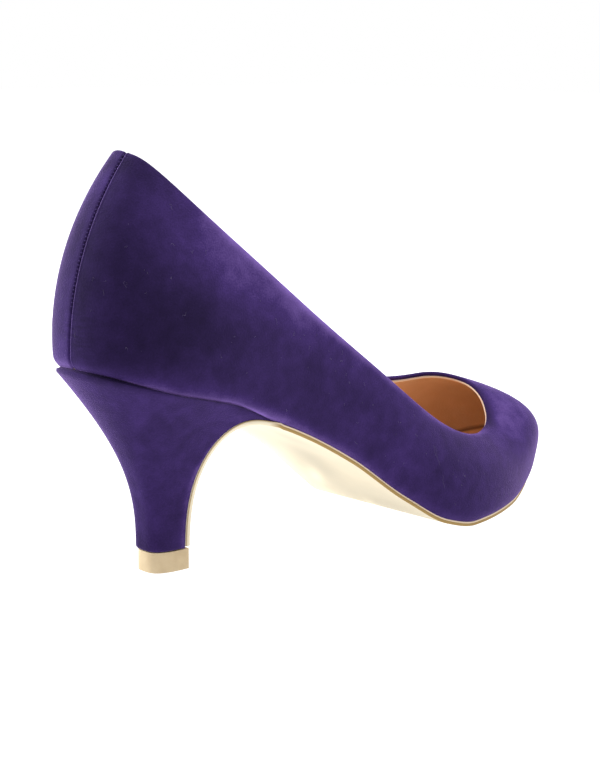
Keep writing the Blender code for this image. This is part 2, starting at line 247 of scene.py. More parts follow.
# Bands of tone beside an edge, a joint or a seam: their distance from it and their width, in metres
# All these bands, except the two that place the wrinkles, are painted light or painted shade
Band = namedtuple("Band", "middle width tone")
RIM_HIGHLIGHT = Band(0, 0.0020, 1.0)
TUCK_SHADOW = Band(0, 0.0007, -1.8)
FOOT_LIP_HIGHLIGHT = Band(0.0008, 0.0007, 1.0)
JOINT_SHADOW = Band(0, 0.0003, -1.5)
SEAM_INNER_LIGHT = Band(-0.0016, 0.0016, 0.4)
STRIP_LIGHT = Band(-0.006, 0.006, 1.0)
WRINKLE_ASIDE = Band(0.003, 0.006, 1.0)
WRINKLE_CLIMB = Band(0.014, 0.009, 1.0)
TOE_JOIN_SHADOW = Band(0.0097, 0.0006, -2.0)
LINING_JOIN_SHADOW = Band(0, 0.0007, -2.6)
RIM_SHADE = Band(0, 0.0013, -1.5)
RIM_SHADOW_LINE = Band(0, 0.0004, -1.0)
FRONT_CORNER_HIGHLIGHT = Band(0, 0.0025, 1.0)

# Even tones: painted shade in the fold at the throat, the paler lining under the toe's painted join shadow,
# painted shade in the heel's groove, and the insole's darker colour
FOLD_SHADE = -1.5
TOE_PALE = 0.35
GROOVE_SHADE = -2.0
INSOLE_TONE = -0.5

# The tuck of the upper's foot: its height in metres, and how much of it goes up or down
TUCK_HEIGHT = 0.0055
TUCK_TILT = 0.05

# The lip on the outer side of the back seam: its raised place and its painted highlight's place in widths
# of the seam's turn, its rise in depths of the seam, and the highlight's tone
RELIEF_PLACE = 2.5
RELIEF_RISE = 0.2
SEAM_HIGHLIGHT_PLACE = 1.6
SEAM_HIGHLIGHT_TONE = 0.5

# The heel's cover: angles of its turn over the lift, its rim in shares of the last slice and of the
# rounding, and the groove and the pad inside the rim in shares of the rim
FOOT_TURNS = np.radians((15, 40, 65))
RIM_STEPS = ((0.5, 0.0), (0.8, 0.25), (1.0, 1.0))
GROOVE_SHARE = 0.97
GROOVE_DROP = 0.3
PAD_SHARE = 0.9

# Lint on the nap: how much of it, how high it lies, how it strays by station and rise, and how far.
# Scuffed threads are listed as shares round the upper and up its wall, with a slight wave.
LINT_SEED = 7
LINT_COUNT = 240
LINT_POINTS = 6
LINT_RISE = (0.06, 0.9)
LINT_STRAY = (0.0004, 0.007)
LINT_REACH = (0.3, 1.4)
SCUFF_WAVE = 0.0006
SCUFF_TURN = 9
Scuff = namedtuple("Scuff", "station rise climb")
SCUFFS = (
    Scuff(0.287, 0.50, 0.14),
    Scuff(0.2885, 0.44, 0.20),
    Scuff(0.290, 0.24, 0.12),
)

# Stitches of the back seam: where they begin over the foot and end under the collar, in metres,
# and how deep they lie in depths of the seam
STITCH_FOOT = (0.020, 0.022)
STITCH_TOP = (0.003, 0.001)
STITCH_SINK = 0.3

# Coordinates of a point: across the shoe and up
ACROSS, UP = 1, 2

# The last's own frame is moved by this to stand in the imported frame, read from the lift under the heel
LIFT_LOW, LIFT_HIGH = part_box("top_lift")
SHIFT = np.array([LIFT_HIGH.x - LIFT_FRONT, (LIFT_LOW.y + LIFT_HIGH.y) / 2, 0.0])

# Point of the last at which the camera looks, in metres, and the way up
AIM = np.array([0.110, 0.0, 0.050])
UPRIGHT = np.array([0.0, 0.0, 1.0])

# Soft light of the stage: windows, with place and size in metres and power in watts, and the sky's strength
Light = namedtuple("Light", "name place size power")
LIGHTS = (
    Light("left_window", (-0.44, 0.98, 0.4), 0.7, 18.0),
    Light("right_window", (0.7, -0.2, 1.2), 0.9, 12.0),
    Light("top_window", (0.1, 0.0, 1.3), 1.0, 16.0),
)
SKY_STRENGTH = 0.55


# Settings that a user would change

def length_setting(name, description, default):
    """A length property in metres."""
    return FloatProperty(name=name, description=description, default=default, unit="LENGTH")


def angle_setting(name, description, degrees):
    """An angle property, given in degrees."""
    return FloatProperty(name=name, description=description, default=np.radians(degrees), subtype="ANGLE")


def colour_setting(name, description, default):
    """A linear colour property with its alpha."""
    return FloatVectorProperty(
        name=name, description=description, default=(*default, 1.0), size=4, min=0, max=1, subtype="COLOR"
    )


class ShoeSizes(bpy.types.PropertyGroup):
    """Sizes of the shoe's seams, folds and edges, and widths of bands of painted light and shade."""

    suede: length_setting("Suede", "Thickness of the suede", 0.0009)
    collar_roll: length_setting("Collar roll", "Radius of the folded collar edge", 0.00075)
    facing: length_setting("Facing", "Width of suede turned in at the collar", 0.0016)
    lining: length_setting("Lining", "Thickness of the lining", 0.0006)
    lining_step: length_setting("Lining step", "Drop from the side collar to the lining", 0.0013)
    cut_edge: length_setting("Cut edge", "Height of the lining's pale edge", 0.00045)
    fold_rise: length_setting("Fold rise", "Rise of the folded edge over the collar line", 0.0004)
    crest: length_setting("Throat crest", "Rise of the vamp behind the throat's edge", 0.0011)
    crest_back: length_setting("Crest place", "Distance of the crest from the throat's edge", 0.0032)
    # Widths of the painted shade in the throat's fold, of the lower edge's band lighter from wear and painted
    # light, and of the collar's painted light
    throat_shade: length_setting("Throat lip", "Width of the dark fold round the throat", 0.0026)
    rubbed_and_lit: length_setting("Rubbed edge", "Width of the lighter nap along the lower edge", 0.0042)
    collar_light_band: length_setting("Collar band", "Width of the lighter nap along the collar", 0.0110)
    seam_depth: length_setting("Seam depth", "Depth of the back seam", 0.0007)
    seam_lip: length_setting("Seam lip", "Width of the turn into the seam on the outer side", 0.00045)
    seam_roll: length_setting("Seam roll", "Width of the turn on the inner side", 0.0003)
    stitch_pitch: length_setting("Stitch pitch", "Distance between stitches", 0.0012)
    stitch_length: length_setting("Stitch length", "Length of a stitch across the seam", 0.0010)
    thread: length_setting("Thread", "Radius of the thread", 0.00022)
    sole_bulge: length_setting("Sole bulge", "Roundness of the sole's edge", 0.00015)
    heel_tuck: length_setting("Heel tuck", "Turn of the upper's foot over the back of the heel", 0.0014)
    rim_round: length_setting("Rim round", "Rounding of the heel's rim at the back", 0.0032)
    foot_round: length_setting("Foot round", "Rounding of the heel's cover over the lift", 0.0009)
    cover_round: length_setting("Cover round", "Rounding of the heel's cover", 0.0009)
    lift_round: length_setting("Lift round", "Rounding of the lift's edges", 0.0004)
    lint: length_setting("Lint", "Radius of a lint fibre", 0.00003)


class ShoeColours(bpy.types.PropertyGroup):
    """Colours of the shoe's finishes, and the pale colours of painted highlights."""

    suede: colour_setting("Suede", "Nap between its light and dark strokes", (0.027, 0.0135, 0.074))
    suede_sheen: colour_setting("Suede sheen", "Tint of the nap at a glancing view", (0.41, 0.26, 0.70))
    # Pale colour where the suede's tone is highest: painted highlights and wear
    suede_highlight_and_wear: colour_setting("Suede tips", "Worn tips where the nap is lightest", (0.21, 0.14, 0.27))
    lint: colour_setting("Lint", "Loose fibres on the nap", (0.17, 0.14, 0.26))
    thread: colour_setting("Thread", "Thread of the back seam", (0.034, 0.018, 0.090))
    lining: colour_setting("Lining", "Smooth lining leather", (0.74, 0.48, 0.29))
    lining_deep: colour_setting("Lining deep", "Darker grain of the lining", (0.62, 0.37, 0.20))
    lining_edge: colour_setting("Lining edge", "Pale cut edge of the lining", (0.92, 0.76, 0.60))
    sole: colour_setting("Sole", "Smooth face of the sole", (0.77, 0.68, 0.50))
    sole_edge: colour_setting("Sole edge", "Trimmed edge of the sole", (0.35, 0.22, 0.066))
    # Painted highlight along the top of the sole's edge
    sole_edge_highlight: colour_setting("Sole line", "Pale line along the top of the edge", (0.90, 0.72, 0.52))
    lift: colour_setting("Lift", "Rubber of the lift", (0.60, 0.46, 0.28))
    lift_pale: colour_setting("Lift pale", "Lighter rubber", (0.68, 0.54, 0.34))


class StageSettings(bpy.types.PropertyGroup):
    """Camera, floor and light."""

    turn: angle_setting("Turn", "View direction from +Y towards +X", 44.15)
    dip: angle_setting("Dip", "View direction below level", 10.83)
    roll: angle_setting("Roll", "Camera turned about its view", 0.56)
    distance: length_setting("Distance", "Camera to the aim point", 0.602)
    aside: length_setting("Aside", "Aim moved to the right", -0.0070)
    above: length_setting("Above", "Aim moved up", 0.0008)
    lens: FloatProperty(name="Lens", description="Focal length in mm on a 36 mm sensor", default=85.4)
    floor_size: length_setting("Floor", "Side of the floor", 8.0)


# The shoe's own shape functions

def grades():
    """Metres per sample millimetre along, across and up the shoe, and up its side profile."""
    along = np.ptp([section.along for section in SECTIONS])
    across = np.ptp([section.across for section in SECTIONS])
    up = max(section.top_up for section in SECTIONS)
    return LENGTH / along, BALL_WIDTH / across, COUNTER_HEIGHT / up, SEAT_HEIGHT / PROFILE[0].up


def graded_sections():
    """The sample sections in metres and radians."""
    along, across, up, _ = grades()
    turn = np.radians(1)
    columns = [along, across, along, across, up, turn, up, turn, up]
    return np.array([section[1:] for section in SECTIONS], float) * columns


def bottom_height(along):
    """Height of the feather line at a place along the shoe: monotone cubic steps through PROFILE."""
    grade_along, _, _, grade_up = grades()
    x, y = (np.array(PROFILE, float) * [grade_along, grade_up]).T
    steps = np.diff(y) / np.diff(x)
    product = steps[:-1] * steps[1:]
    total = np.where(product > 0, steps[:-1] + steps[1:], 1)
    slopes = np.concatenate([steps[:1], np.where(product > 0, 2 * product / total, 0), steps[-1:]])
    i = np.clip(np.searchsorted(x, along) - 1, 0, len(x) - 2)
    span = x[i + 1] - x[i]
    s = (along - x[i]) / span
    start = (2 * s**3 - 3 * s**2 + 1) * y[i] + (s**3 - 2 * s**2 + s) * span * slopes[i]
    end = (3 * s**2 - 2 * s**3) * y[i + 1] + (s**3 - s**2) * span * slopes[i + 1]
    return start + end


def closed_spline(rows, knots, period, at):
    """Smooth closed curve through the rows, read at the given distances round it."""
    count = len(rows)
    spans = np.diff(np.append(knots, period))
    matrix = np.zeros((count, count))
    bends = np.zeros(rows.shape)
    for i in range(count):
        before, after, following = spans[i - 1], spans[i], (i + 1) % count
        matrix[i, [i - 1, i, following]] = before, 2 * (before + after), after
        bends[i] = 6 * ((rows[following] - rows[i]) / after - (rows[i] - rows[i - 1]) / before)
    bends = np.linalg.solve(matrix, bends)
    at = np.mod(at, period)
    i = np.searchsorted(knots, at, side="right") - 1
    j = (i + 1) % count
    span = spans[i][:, None]
    a = (at - knots[i])[:, None]
    b = span - a
    cubic = (bends[i] * b**3 + bends[j] * a**3) / (6 * span)
    return cubic + (rows[i] / span - bends[i] * span / 6) * b + (rows[j] / span - bends[j] * span / 6) * a


def feather_knots():
    """Distance of each section round the feather line, and the whole way round."""
    outline = graded_sections()[:, :2]
    chords = np.linalg.norm(np.roll(outline, -1, axis=0) - outline, axis=1)
    return np.concatenate([[0], np.cumsum(chords)[:-1]]), chords.sum()


def ring(stations):
    """Section values and outward plan normals, at stations 0 to 1 from the back by the outer side."""
    rows = graded_sections()
    knots, period = feather_knots()
    at = np.asarray(stations) * period
    nudge = period / FINE
    ahead = closed_spline(rows[:, :2], knots, period, at + nudge)
    travel = ahead - closed_spline(rows[:, :2], knots, period, at - nudge)
    travel /= np.linalg.norm(travel, axis=1)[:, None]
    normals = np.column_stack([travel[:, 1], -travel[:, 0]])
    return closed_spline(rows, knots, period, at), normals


def wall(stations, rise):
    """Outer face of the upper, at stations round it and shares of the rise from its foot to the collar."""
    values, normals = ring(stations)
    along, across, top_along, top_across, top_up = values[:, :5].T
    foot_lean, foot_reach, top_lean, top_reach = values[:, 5:, None].transpose(1, 0, 2)
    out = np.column_stack([normals, np.zeros(len(stations))])
    foot = np.column_stack([along, across, bottom_height(along)]) + EDGE_ROLL * out
    top = np.column_stack([top_along, top_across, top_up])
    foot_handle = foot + foot_reach * (np.sin(foot_lean) * out + np.cos(foot_lean) * UPRIGHT)
    top_handle = top + top_reach * (np.sin(top_lean) * out - np.cos(top_lean) * UPRIGHT)
    rise = rise[..., None]
    fall = 1 - rise
    shares = (fall**3, 3 * rise * fall**2, 3 * rise**2 * fall, rise**3)
    corners = (foot, foot_handle, top_handle, top)
    points = sum(share * corner[:, None, :] for share, corner in zip(shares, corners))
    climbed = np.linalg.norm(points - foot[:, None, :], axis=2)
    left = np.clip(1 - climbed / ROLL_HEIGHT, 0, None)
    inset = EDGE_ROLL * (1 - np.sqrt(1 - left**2))
    return points - inset[..., None] * out[:, None, :]


def unit(vectors):
    """Vectors of length one."""
    return vectors / np.linalg.norm(vectors, axis=-1, keepdims=True)


def grid_normals(points):
    """Outward normals of rows of points that close round the shoe, each rising from the feather line."""
    around = np.roll(points, -1, axis=0) - np.roll(points, 1, axis=0)
    rising = np.gradient(points, axis=1)
    return unit(np.cross(around, rising)), unit(rising)


def seam_stations(count):
    """Stations round the upper, crowded at the back seam."""
    turn = np.arange(count) / count
    return turn - SEAM_CROWDING * np.sin(2 * np.pi * turn) / (2 * np.pi)


def course_at(course, places):
    """Values of a course at the given places, straight between those that it names."""
    return np.interp(places, course.places, course.values)


def column(course, stations):
    """Values of a course at stations round the upper, in a column."""
    return course_at(course, stations)[:, None]


def near(distance, width):
    """One at no distance, falling smoothly to nothing past the width."""
    return np.exp(-((distance / width) ** 2))


def band(distance, shape):
    """Tone of a band at distances from its edge, joint or seam."""
    return shape.tone * near(distance - shape.middle, shape.width)


def formed_wall(stations, low, rows, high):
    """Outer face of the upper with the roll of its throat and the tuck of its foot over the heel.

    low are distances up from the foot, high are distances down from the collar, and rows lie between them.
    Gives the points, their climb from the foot and their way to the collar.
    """
    sizes = bpy.context.scene.pump_sizes
    dense = np.linspace(0, 1, CURVE_STEPS)
    path = wall(stations, np.broadcast_to(dense, (len(stations), len(dense))))
    steps = np.linalg.norm(np.diff(path, axis=1), axis=2)
    climb = np.column_stack([np.zeros(len(stations)), np.cumsum(steps, axis=1)])
    total = climb[:, -1:]
    share = np.linspace(0, 1, rows + 2)[1:-1]
    middle = low[-1] + (total - high[..., :1] - low[-1]) * share
    wanted = np.hstack([np.broadcast_to(low, (len(stations), len(low))), middle, total - high])
    rise = np.array([np.interp(want, have, dense) for want, have in zip(wanted, climb)])
    points = wall(stations, rise)
    normals, _ = grid_normals(points)
    back = (total - wanted) / sizes.crest_back
    raised = sizes.crest * column(THROAT_CREST, stations) * back * np.exp(1 - back)
    turn = sizes.heel_tuck * course_at(FOOT_TUCK, points[..., 0])
    tucked = turn * np.clip(1 - wanted / TUCK_HEIGHT, 0, 1) ** 2
    level = unit(normals * (1, 1, TUCK_TILT))
    points = points + raised[..., None] * normals - tucked[..., None] * level
    points[..., UP] -= FOOT_DROP * np.clip(1 - wanted / EDGE_ROLL, 0, 1)
    return points, wanted, total - wanted


def seam_relief(points):
    """Height of the suede beside the back seam, turned in to it and raised in a lip on its outer side."""
    sizes = bpy.context.scene.pump_sizes
    aside = -points[..., ACROSS]
    width = np.where(aside > 0, sizes.seam_lip, sizes.seam_roll)
    turned = -sizes.seam_depth * np.exp(-np.abs(aside) / width)
    lip = RELIEF_RISE * sizes.seam_depth * near(aside - RELIEF_PLACE * sizes.seam_lip, sizes.seam_lip)
    return (points[..., 0] < SEAM_END) * (turned + lip)


def stroke_tone(points, strokes, level):
    """Tone from strokes, at points whose given coordinate is the strokes' level: nap tone and painted light
    and shade.
    """
    tone = np.zeros(points.shape[:-1])
    for stroke in strokes:
        tilt = np.radians(stroke.tilt)
        ahead = 1000 * points[..., 0] - stroke.along
        beside = 1000 * points[..., level] - stroke.level
        length = (ahead * np.cos(tilt) + beside * np.sin(tilt)) / stroke.length
        height = (beside * np.cos(tilt) - ahead * np.sin(tilt)) / stroke.height
        tone = tone + stroke.tone * np.exp(-(length**2) - height**2)
    return tone


def seam_painted_light(aside, climb):
    """Painted light beside the back seam: a highlight on its outer lip, and lighter bands close to it and in
    a strip on its inner side.
    """
    lip = bpy.context.scene.pump_sizes.seam_lip
    outer = SEAM_HIGHLIGHT_TONE * near(aside - SEAM_HIGHLIGHT_PLACE * lip, lip)
    return outer + band(aside, SEAM_INNER_LIGHT) + course_at(SEAM_STRIP_LIGHT, climb) * band(aside, STRIP_LIGHT)


def upper_nap_light_and_shade(points, climb, below, fold):
    """Tone of the upper: strokes of nap and painted light, the lower edge lighter from wear and painted
    light, and painted light, highlights, shade and shadow at the collar, throat, heel joint and seam.
    """
    sizes = bpy.context.scene.pump_sizes
    along, aside = points[..., 0], -points[..., ACROSS]
    width = sizes.rubbed_and_lit * course_at(LOWER_WIDTH, along)
    tones = (
        stroke_tone(points, UPPER_STROKES, UP),
        course_at(SIDE_COLLAR_LIGHT, along) * near(below, sizes.collar_light_band),
        course_at(COLLAR_RIM_HIGHLIGHT, along) * band(below, RIM_HIGHLIGHT),
        course_at(LOWER_EDGE_RUB_AND_LIGHT, along) * near(climb, width),
        FOLD_SHADE * fold * near(below, sizes.throat_shade),
        course_at(HEEL_BACK, along) * band(climb, TUCK_SHADOW),
        course_at(HEEL_LIP_HIGHLIGHT, along) * band(climb, FOOT_LIP_HIGHLIGHT),
        (along < HEEL_TIP) * band(climb, JOINT_SHADOW),
        (along < SEAM_END) * seam_painted_light(aside, climb),
    )
    return sum(tones)


def wrinkles(points, climb):
    """Share of the fine level wrinkles beside the seam, above the heel."""
    beside = band(-points[..., ACROSS], WRINKLE_ASIDE) * (points[..., 0] < WRINKLE_END)
    return beside * band(climb, WRINKLE_CLIMB)


def lining_shade(points):
    """Painted light and shade of the lining: lighter towards the back, darker inside the toe."""
    return course_at(LINING_LIGHT_AND_SHADE, points[..., 0])


def toe_join_shadow(stations, climb):
    """Painted shadow of the insole's join, low in the lining of the inner toe: a dark line with paler leather
    under it.
    """
    return column(TOE_JOIN_RUN, stations) * (TOE_PALE * (climb < TOE_JOIN_SHADOW.middle) + band(climb, TOE_JOIN_SHADOW))


def join_shade(distance):
    """Painted shadow where lining and insole meet, at distances from the join."""
    return band(np.clip(distance, 0, None), LINING_JOIN_SHADOW)


def plan_sides(margin):
    """Outer and inner side of the feather line in plan, moved out by a margin, each from back to toe."""
    values, normals = ring(np.arange(FINE) / FINE)
    plan = values[:, :2] + margin * normals
    plan = np.roll(plan, -plan[:, 0].argmin(), axis=0)
    toe = plan[:, 0].argmax()
    inner = np.vstack([plan[toe:], plan[:1]])
    return plan[: toe + 1], inner[::-1]


def across_at(side, along):
    """Where a side of the plan lies across the shoe, at places along it."""
    return np.interp(along, side[:, 0], side[:, 1])


def heel_front():
    """Place along the shoe of the heel's front face at its foot, behind the sole's flap."""
    return LIFT_FRONT - SOLE_THICKNESS - GAP


def breast_shares(angle):
    """Shares of its depth and height that the heel's front has reached: a full quarter round."""
    return 1 - np.cos(angle) ** BREAST_POWER, np.sin(angle)


def crown(along):
    """Height to which the heel's front is drawn: a straight rise from the tip back to the foot."""
    return bottom_height(HEEL_TIP) + CROWN_SLOPE * (HEEL_TIP - along)


def breast(angle):
    """The heel's front from its foot (angle 0) to the waist (a quarter turn), as places along and up."""
    depth, height = breast_shares(angle)
    along = heel_front() + (HEEL_TIP - heel_front()) * depth
    return along, LIFT_HEIGHT + (crown(along) - GAP - LIFT_HEIGHT) * height


def breast_blend(along):
    """Share by which the heel follows its front face, none at the back and all at the tip."""
    return np.clip((along - BREAST_START) / (HEEL_TIP - BREAST_START), 0, 1) ** 2


def heel_base(front, length, width):
    """Foot of the heel or lift in plan: flat front and round back, from outer to inner corner."""
    turn = np.linspace(-np.pi / 2, np.pi / 2, 2 * HEEL_SIDE + 1)
    along = front - length * np.abs(np.cos(turn)) ** BASE_DEPTH_POWER
    across = width / 2 * np.sign(turn) * np.abs(np.sin(turn)) ** BASE_WIDTH_POWER
    return np.column_stack([along, across])


def heel_seat():
    """The feather line from the outer heel tip, round the back, to the inner heel tip."""
    stations = np.arange(FINE) / FINE
    along = ring(stations)[0][:, 0]
    behind = stations[along <= HEEL_TIP]
    first = behind[behind < 0.5].max()
    last = behind[behind > 0.5].min() - 1
    values, normals = ring(np.linspace(first, last, 2 * HEEL_SIDE + 1))
    margin = SEAT_MARGIN * (1 - breast_blend(values[:, 0]))
    return values[:, :2] + margin[:, None] * normals


def heel_loops():
    """Outlines of the heel from its foot to its seat, which meets the last slice in a blunt wedge."""
    length = LIFT_LENGTH + HEEL_OVERHANG - SOLE_THICKNESS - GAP
    base = heel_base(heel_front(), length, LIFT_WIDTH + HEEL_OVERHANG)
    seat = heel_seat()
    forward = breast_blend(seat[:, 0])
    shares = np.linspace(0, 1, HEEL_SLICES + 1)
    front_depths, front_heights = breast_shares(WEDGE_ANGLE * shares)
    loops = []
    for back_height, front_depth, front_height in zip(LAST_SLICE * shares, front_depths, front_heights):
        height = back_height + (front_height - back_height) * forward
        flare = height**HEEL_FLARE
        depth = flare + (front_depth - flare) * forward
        along = base[:, 0] + (seat[:, 0] - base[:, 0]) * depth
        across = base[:, 1] + (seat[:, 1] - base[:, 1]) * flare
        level = bottom_height(along)
        roof = level + (crown(along) - level) * forward
        up = LIFT_HEIGHT + (roof - GAP - LIFT_HEIGHT) * height
        loops.append(np.column_stack([along, across, up]))
    seat_depth = 1 + (front_depths[-1] - 1) * forward
    seat_along = base[:, 0] + (seat[:, 0] - base[:, 0]) * seat_depth
    loops.append(np.column_stack([seat_along, seat[:, 1], bottom_height(seat_along) - GAP]))
    return loops


def shrunk(loop, share):
    """A loop drawn in towards the middle of the heel in plan."""
    middle = np.array([LIFT_FRONT, 0.0])
    return np.column_stack([middle + share * (loop[:, :2] - middle), loop[:, 2]])


def heel_nap_light_and_shade(loop, rim, shadow):
    """Tone on an outline of the heel: strokes of nap and painted light, painted shadow under the rim, painted
    highlights at the front corners.
    """
    under = np.linalg.norm(loop - rim, axis=1)
    tone = stroke_tone(loop, HEEL_STROKES, UP)
    tone = tone + shadow * band(under, RIM_SHADE) + (1 - shadow) * band(under, RIM_SHADOW_LINE)
    for corner in (loop[0], loop[-1]):
        tone = tone + band(np.linalg.norm(loop - corner, axis=1), FRONT_CORNER_HIGHLIGHT)
    return tone


def covered_heel():
    """Outlines of the heel's cover, rounded over the lift and at the back of its rim, and their tone with its
    painted light and shade.

    Inside the rim lie a groove under the upper and a pad that closes the gap, both painted in shade.
    """
    sizes = bpy.context.scene.pump_sizes
    foot, *loops, below, rim = heel_loops()
    front = foot[:, 0] > heel_front() - GAP
    inward = unit(np.array([LIFT_FRONT - LIFT_LENGTH / 2, 0.0]) - foot[:, :2])
    turned = []
    for angle in FOOT_TURNS:
        inset = sizes.foot_round * (1 - np.sin(angle)) * ~front
        plan = foot[:, :2] + inset[:, None] * inward
        turned.append(np.column_stack([plan, foot[:, 2] + sizes.foot_round * (1 - np.cos(angle))]))
    at_back = course_at(HEEL_BACK, rim[:, 0])
    outwards = -rim[:, ACROSS]
    rounding = sizes.rim_round * (at_back * course_at(RIM_ROUNDING, outwards))[:, None]
    inward = np.column_stack([unit(np.array([HEEL_TIP / 2, 0.0]) - rim[:, :2]), np.zeros(len(rim))])
    edge = [below + (rim - below) * share + inset * rounding * inward for share, inset in RIM_STEPS]
    groove = shrunk(edge[-1], GROOVE_SHARE)
    groove[:, UP] = bottom_height(groove[:, 0]) - GAP - GROOVE_DROP * sizes.rim_round * at_back
    pad = shrunk(edge[-1], PAD_SHARE)
    pad[:, UP] = bottom_height(pad[:, 0]) + GAP
    cover = [*turned, *loops, below, *edge]
    shadow = at_back * course_at(RIM_SHADOW, outwards)
    tones = [heel_nap_light_and_shade(loop, edge[-1], shadow) for loop in cover]
    inside = np.full(2 * len(rim), GROOVE_SHADE)
    return [*cover, groove, pad], np.concatenate([*tones, inside])


def rows_across(along, left, right, up):
    """Level rows of points from left to right, crowded at the edges, at each place along the shoe."""
    share = (1 - np.cos(np.linspace(0, np.pi, SOLE_ACROSS + 1))) / 2
    across = left[:, None] + (right - left)[:, None] * share
    along, across, up = np.broadcast_arrays(along[:, None], across, up[:, None])
    return np.stack([along, across, up], axis=2)


def sole_top():
    """Top face of the sole: rows across it, from the end of the flap up the breast and on to the toe."""
    outer, inner = plan_sides(SOLE_MARGIN)
    seat = heel_seat()
    first = FLAP_STOP / (SEAT_HEIGHT - LIFT_HEIGHT)
    angles = np.linspace(first, np.pi / 2, FLAP_RUNS + 1)
    along, up = breast(angles)
    slope = unit(np.gradient(np.column_stack([along, up]), angles, axis=0))
    flap_along = along + FLAP_GAP * slope[:, 1]
    flap_up = up - FLAP_GAP * slope[:, 0]
    flare = breast_shares(angles)[1] ** HEEL_FLARE
    foot = (LIFT_WIDTH + HEEL_OVERHANG) / 2
    flap_outer = -foot + (seat[0, 1] + foot) * flare - SOLE_MARGIN
    flap_inner = foot + (seat[-1, 1] - foot) * flare + SOLE_MARGIN
    run = np.sin(np.linspace(0, np.pi / 2, SOLE_RUNS + 1))[1:]
    sole_along = flap_along[-1] + (outer[-1, 0] - TIP_CUT - flap_along[-1]) * run
    sunk = np.clip(1 - run / SOLE_SETTLE, 0, 1)
    sole_up = bottom_height(sole_along) - GAP * (1 + sunk)
    along = np.concatenate([flap_along, sole_along])
    up = np.concatenate([flap_up, sole_up])
    left = np.concatenate([flap_outer, across_at(outer, sole_along)])
    right = np.concatenate([flap_inner, across_at(inner, sole_along)])
    return rows_across(along, left, right, up)


def insole_top(margin):
    """Top face of the insole: rows across it from the seat to the toe, up to the lining."""
    outer, inner = plan_sides(-margin)
    run = (1 - np.cos(np.linspace(0, np.pi, SOLE_RUNS + 1))) / 2
    back, toe = outer[0, 0] + TIP_CUT, outer[-1, 0] - TIP_CUT
    along = back + (toe - back) * run
    level = bottom_height(along)
    up = level + INSOLE_THICKNESS * np.hypot(1, np.gradient(level, along))
    return rows_across(along, across_at(outer, along), across_at(inner, along), up)


# Meshes and objects

def make_object(name, points, faces, material, attributes=()):
    """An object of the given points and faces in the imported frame, shaded smooth, with point attributes."""
    mesh = bpy.data.meshes.new(name)
    mesh.from_pydata((np.asarray(points) + SHIFT).tolist(), [], [list(face) for face in faces])
    for label, values in dict(attributes).items():
        mesh.attributes.new(label, "FLOAT", "POINT").data.foreach_set("value", np.ravel(values))
    work = bmesh.new()
    work.from_mesh(mesh)
    bmesh.ops.remove_doubles(work, verts=work.verts, dist=MERGE)
    bmesh.ops.dissolve_degenerate(work, edges=work.edges, dist=MERGE)
    work.to_mesh(mesh)
    work.free()
    mesh.shade_smooth()
    mesh.materials.append(material)
    piece = bpy.data.objects.new(name, mesh)
    bpy.context.scene.collection.objects.link(piece)
    return piece


def settle(piece, slot, *nodes):
    """Bakes a piece's modifiers into its mesh, then lets it ride with the shoe and stand for solids."""
    if piece.modifiers:
        depsgraph = bpy.context.evaluated_depsgraph_get()
        mesh = bpy.data.meshes.new_from_object(piece.evaluated_get(depsgraph))
        piece.modifiers.clear()
        piece.data = mesh
    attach(piece, "root")
    if nodes:
        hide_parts(*nodes)


def loop_faces(around, along):
    """Faces over closed loops that are joined round the shoe."""
    i, j = np.meshgrid(np.arange(around), np.arange(along), indexing="ij")
    after, above = (i + 1) % around, (j + 1) % along
    corners = (i * along + j, after * along + j, after * along + above, i * along + above)
    return np.stack(corners, axis=-1).reshape(-1, 4)


def sheet_object(name, top, thickness, steps, bulge, material, tones=()):
    """A closed sheet under a grid of points, its rim in steps that swell outwards.

    The attribute rim runs 0 to 1 up the edge, and tones are further attributes, given on the grid.
    """
    rows, columns = top.shape[:2]
    normals = unit(np.cross(np.gradient(top, axis=0), np.gradient(top, axis=1)))
    bottom = top - thickness * normals
    index = np.arange(rows * columns).reshape(rows, columns)
    edge = np.concatenate([index[:, 0], index[-1, 1:], index[-2::-1, -1], index[0, -2:0:-1]])
    flat_top, flat_bottom = top.reshape(-1, 3), bottom.reshape(-1, 3)
    along_edge = np.roll(flat_top[edge], -1, axis=0) - np.roll(flat_top[edge], 1, axis=0)
    out = np.cross(along_edge, normals.reshape(-1, 3)[edge])
    out /= np.maximum(np.linalg.norm(out, axis=1, keepdims=True), MERGE)
    levels = np.linspace(0, 1, steps + 1)[1:-1]
    rims = [
        flat_bottom[edge] + (flat_top - flat_bottom)[edge] * level + bulge * np.sin(np.pi * level) * out
        for level in levels
    ]
    points = np.vstack([flat_top, flat_bottom, *rims])
    corners = (index[:-1, :-1], index[1:, :-1], index[1:, 1:], index[:-1, 1:])
    quads = np.stack(corners, axis=-1).reshape(-1, 4)
    count = rows * columns
    faces = [quads, quads[:, ::-1] + count]
    loops = [edge + count]
    loops += [2 * count + len(edge) * k + np.arange(len(edge)) for k in range(len(levels))]
    loops.append(edge)
    for low, high in zip(loops, loops[1:]):
        faces.append(np.stack([low, np.roll(low, -1), np.roll(high, -1), high], axis=-1))
    rim = np.concatenate([np.full(count, -1.0), np.full(count, -1.0), np.repeat(levels, len(edge))])
    rim[edge] = 1
    rim[edge + count] = 0
    attributes = {"rim": rim}
    for label, grid in dict(tones).items():
        flat = np.ravel(grid)
        attributes[label] = np.concatenate([flat, flat, np.tile(flat[edge], len(levels))])
    return make_object(name, points, np.vstack(faces), material, attributes)


